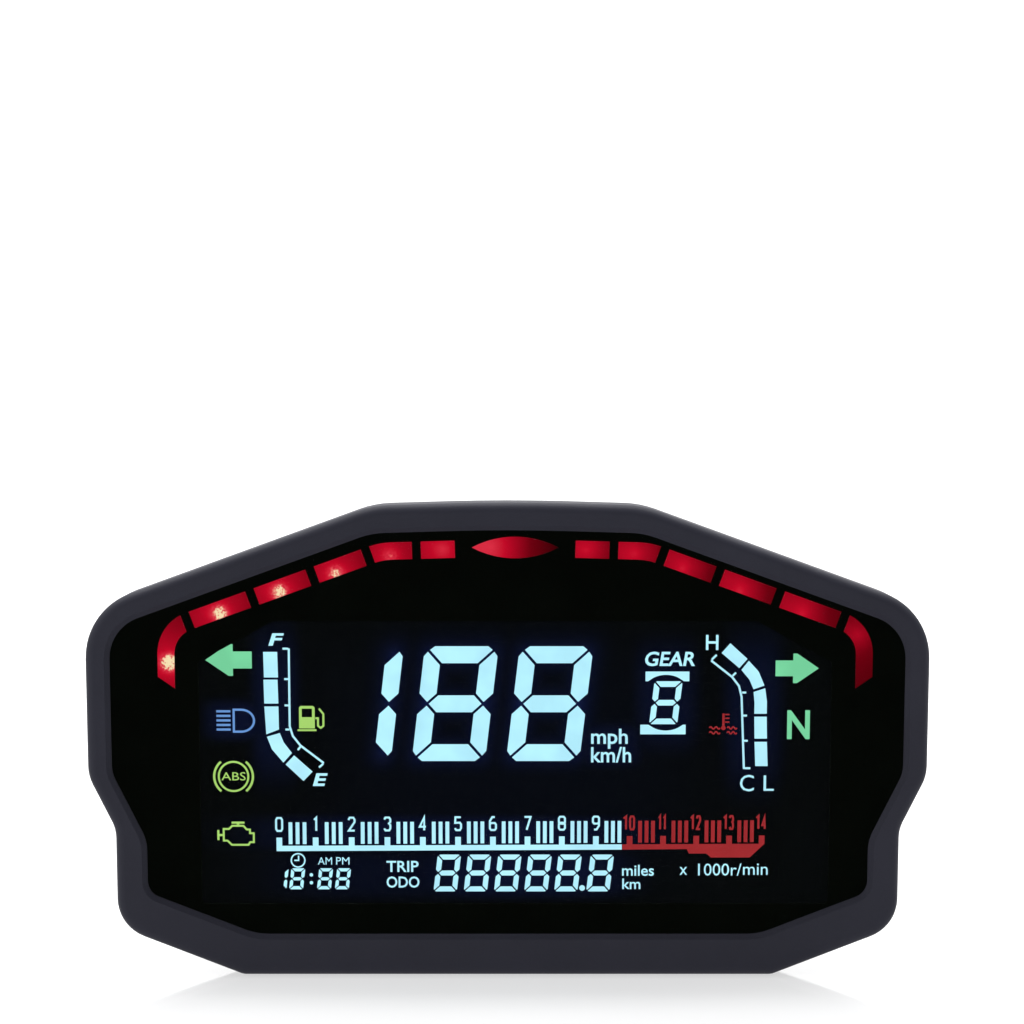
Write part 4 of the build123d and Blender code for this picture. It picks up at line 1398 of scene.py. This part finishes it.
@dataclass
class Studio:
    """White sweep, soft light and the camera."""

    distance: float = 0.45
    elevation: float = 8.0
    lens: float = 86.06
    sensor: float = 36.0
    shift: Point = (0.0044, 0.2251)
    near: float = 0.01
    back: float = 1.5
    depth: float = 8.0
    width: float = 12.0
    wall: float = 3.0
    bend: float = 0.8
    bend_steps: int = 24
    clearance: float = 0.5 * MM
    sky: Colour = (0.95, 0.97, 1.0)
    sky_strength: float = 0.6
    paper: Glowing = Glowing("floor_paper", (0.34, 0.34, 0.34), (0.60, 0.60, 0.60), 0.05, 0.36 / 0.34, 1.0,
                             (0.07, 0.09), 0.3)
    softboxes: tuple[Softbox, ...] = (
        Softbox("overhead", (-0.1, 0.35, 0.9), (1.6, 0.9), 9.0),
        Softbox("backlight", (0.0, 0.3, 1.3), (3.0, 0.6), 50.0, (0.0, 1.6, 0.2)),
        Softbox("left_fill", (-0.9, -0.5, 0.35), (0.6, 0.6), 1.6),
    )

    def build(self) -> None:
        """Set everything up."""
        self.sweep()
        self.lights()
        self.camera()

    def sweep(self) -> None:
        """A pale floor that curves up into a backdrop."""
        height = CAD_BOX[0].z - self.clearance
        bpy.ops.mesh.primitive_plane_add(size=1.0, location=(0, self.back - self.depth / 2, height))
        floor = bpy.context.object
        floor.scale = (self.width, self.depth, 1.0)
        settle(floor)
        bpy.ops.object.mode_set(mode="EDIT")
        bpy.ops.mesh.select_all(action="DESELECT")
        bpy.ops.object.mode_set(mode="OBJECT")
        for edge in floor.data.edges:
            ends = [floor.data.vertices[index].co for index in edge.vertices]
            edge.select = all(end.y > 0 for end in ends)
        bpy.ops.object.mode_set(mode="EDIT")
        bpy.ops.mesh.select_mode(type="EDGE")
        bpy.ops.mesh.extrude_region_move(TRANSFORM_OT_translate={"value": (0, 0, self.wall)})
        bpy.ops.object.mode_set(mode="OBJECT")
        modify(floor, "BEVEL", width=self.bend, segments=self.bend_steps)
        bpy.ops.object.shade_smooth()
        floor.name = "floor"
        dress(floor, self.paper.material())

    def lights(self) -> None:
        """Even surroundings and the softboxes."""
        world = bpy.data.worlds.new("studio")
        world.use_nodes = True
        background = world.node_tree.nodes["Background"]
        background.inputs["Color"].default_value = (*self.sky, 1.0)
        background.inputs["Strength"].default_value = self.sky_strength
        bpy.context.scene.world = world
        for softbox in self.softboxes:
            softbox.build()

    def camera(self) -> None:
        """Put the camera at the rider's eye, looking at the middle of the panel."""
        low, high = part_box("front_bezel")
        target = Vector((0.0, low.y, (low.z + high.z) / 2))
        angle = math.radians(self.elevation)
        back = Vector((0.0, -math.cos(angle), math.sin(angle)))
        data = bpy.data.cameras.new("camera")
        data.lens = self.lens
        data.sensor_width = self.sensor
        data.shift_x, data.shift_y = self.shift
        data.clip_start = self.near
        camera = bpy.data.objects.new("camera", data)
        camera.location = target + back * self.distance
        camera.rotation_euler = (-back).to_track_quat("-Z", "Y").to_euler()
        bpy.context.collection.objects.link(camera)
        bpy.context.scene.camera = camera


def main() -> None:
    """Build the classes in order."""
    logging.basicConfig(level=logging.INFO, format="%(name)s: %(message)s")
    bpy.context.scene.view_settings.view_transform = "Standard"
    Studio().build()
    low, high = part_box("lcd_front_polariser")
    lift = (low.z + high.z) / 2 + ARTWORK_DROP
    case = Case(lift)
    case.build()
    DisplayFace(low.y, lift).build()
    ShiftLights().build()
    MountingStuds().build(case.made["stud_steel"])


if __name__ == "__main__":
    main()
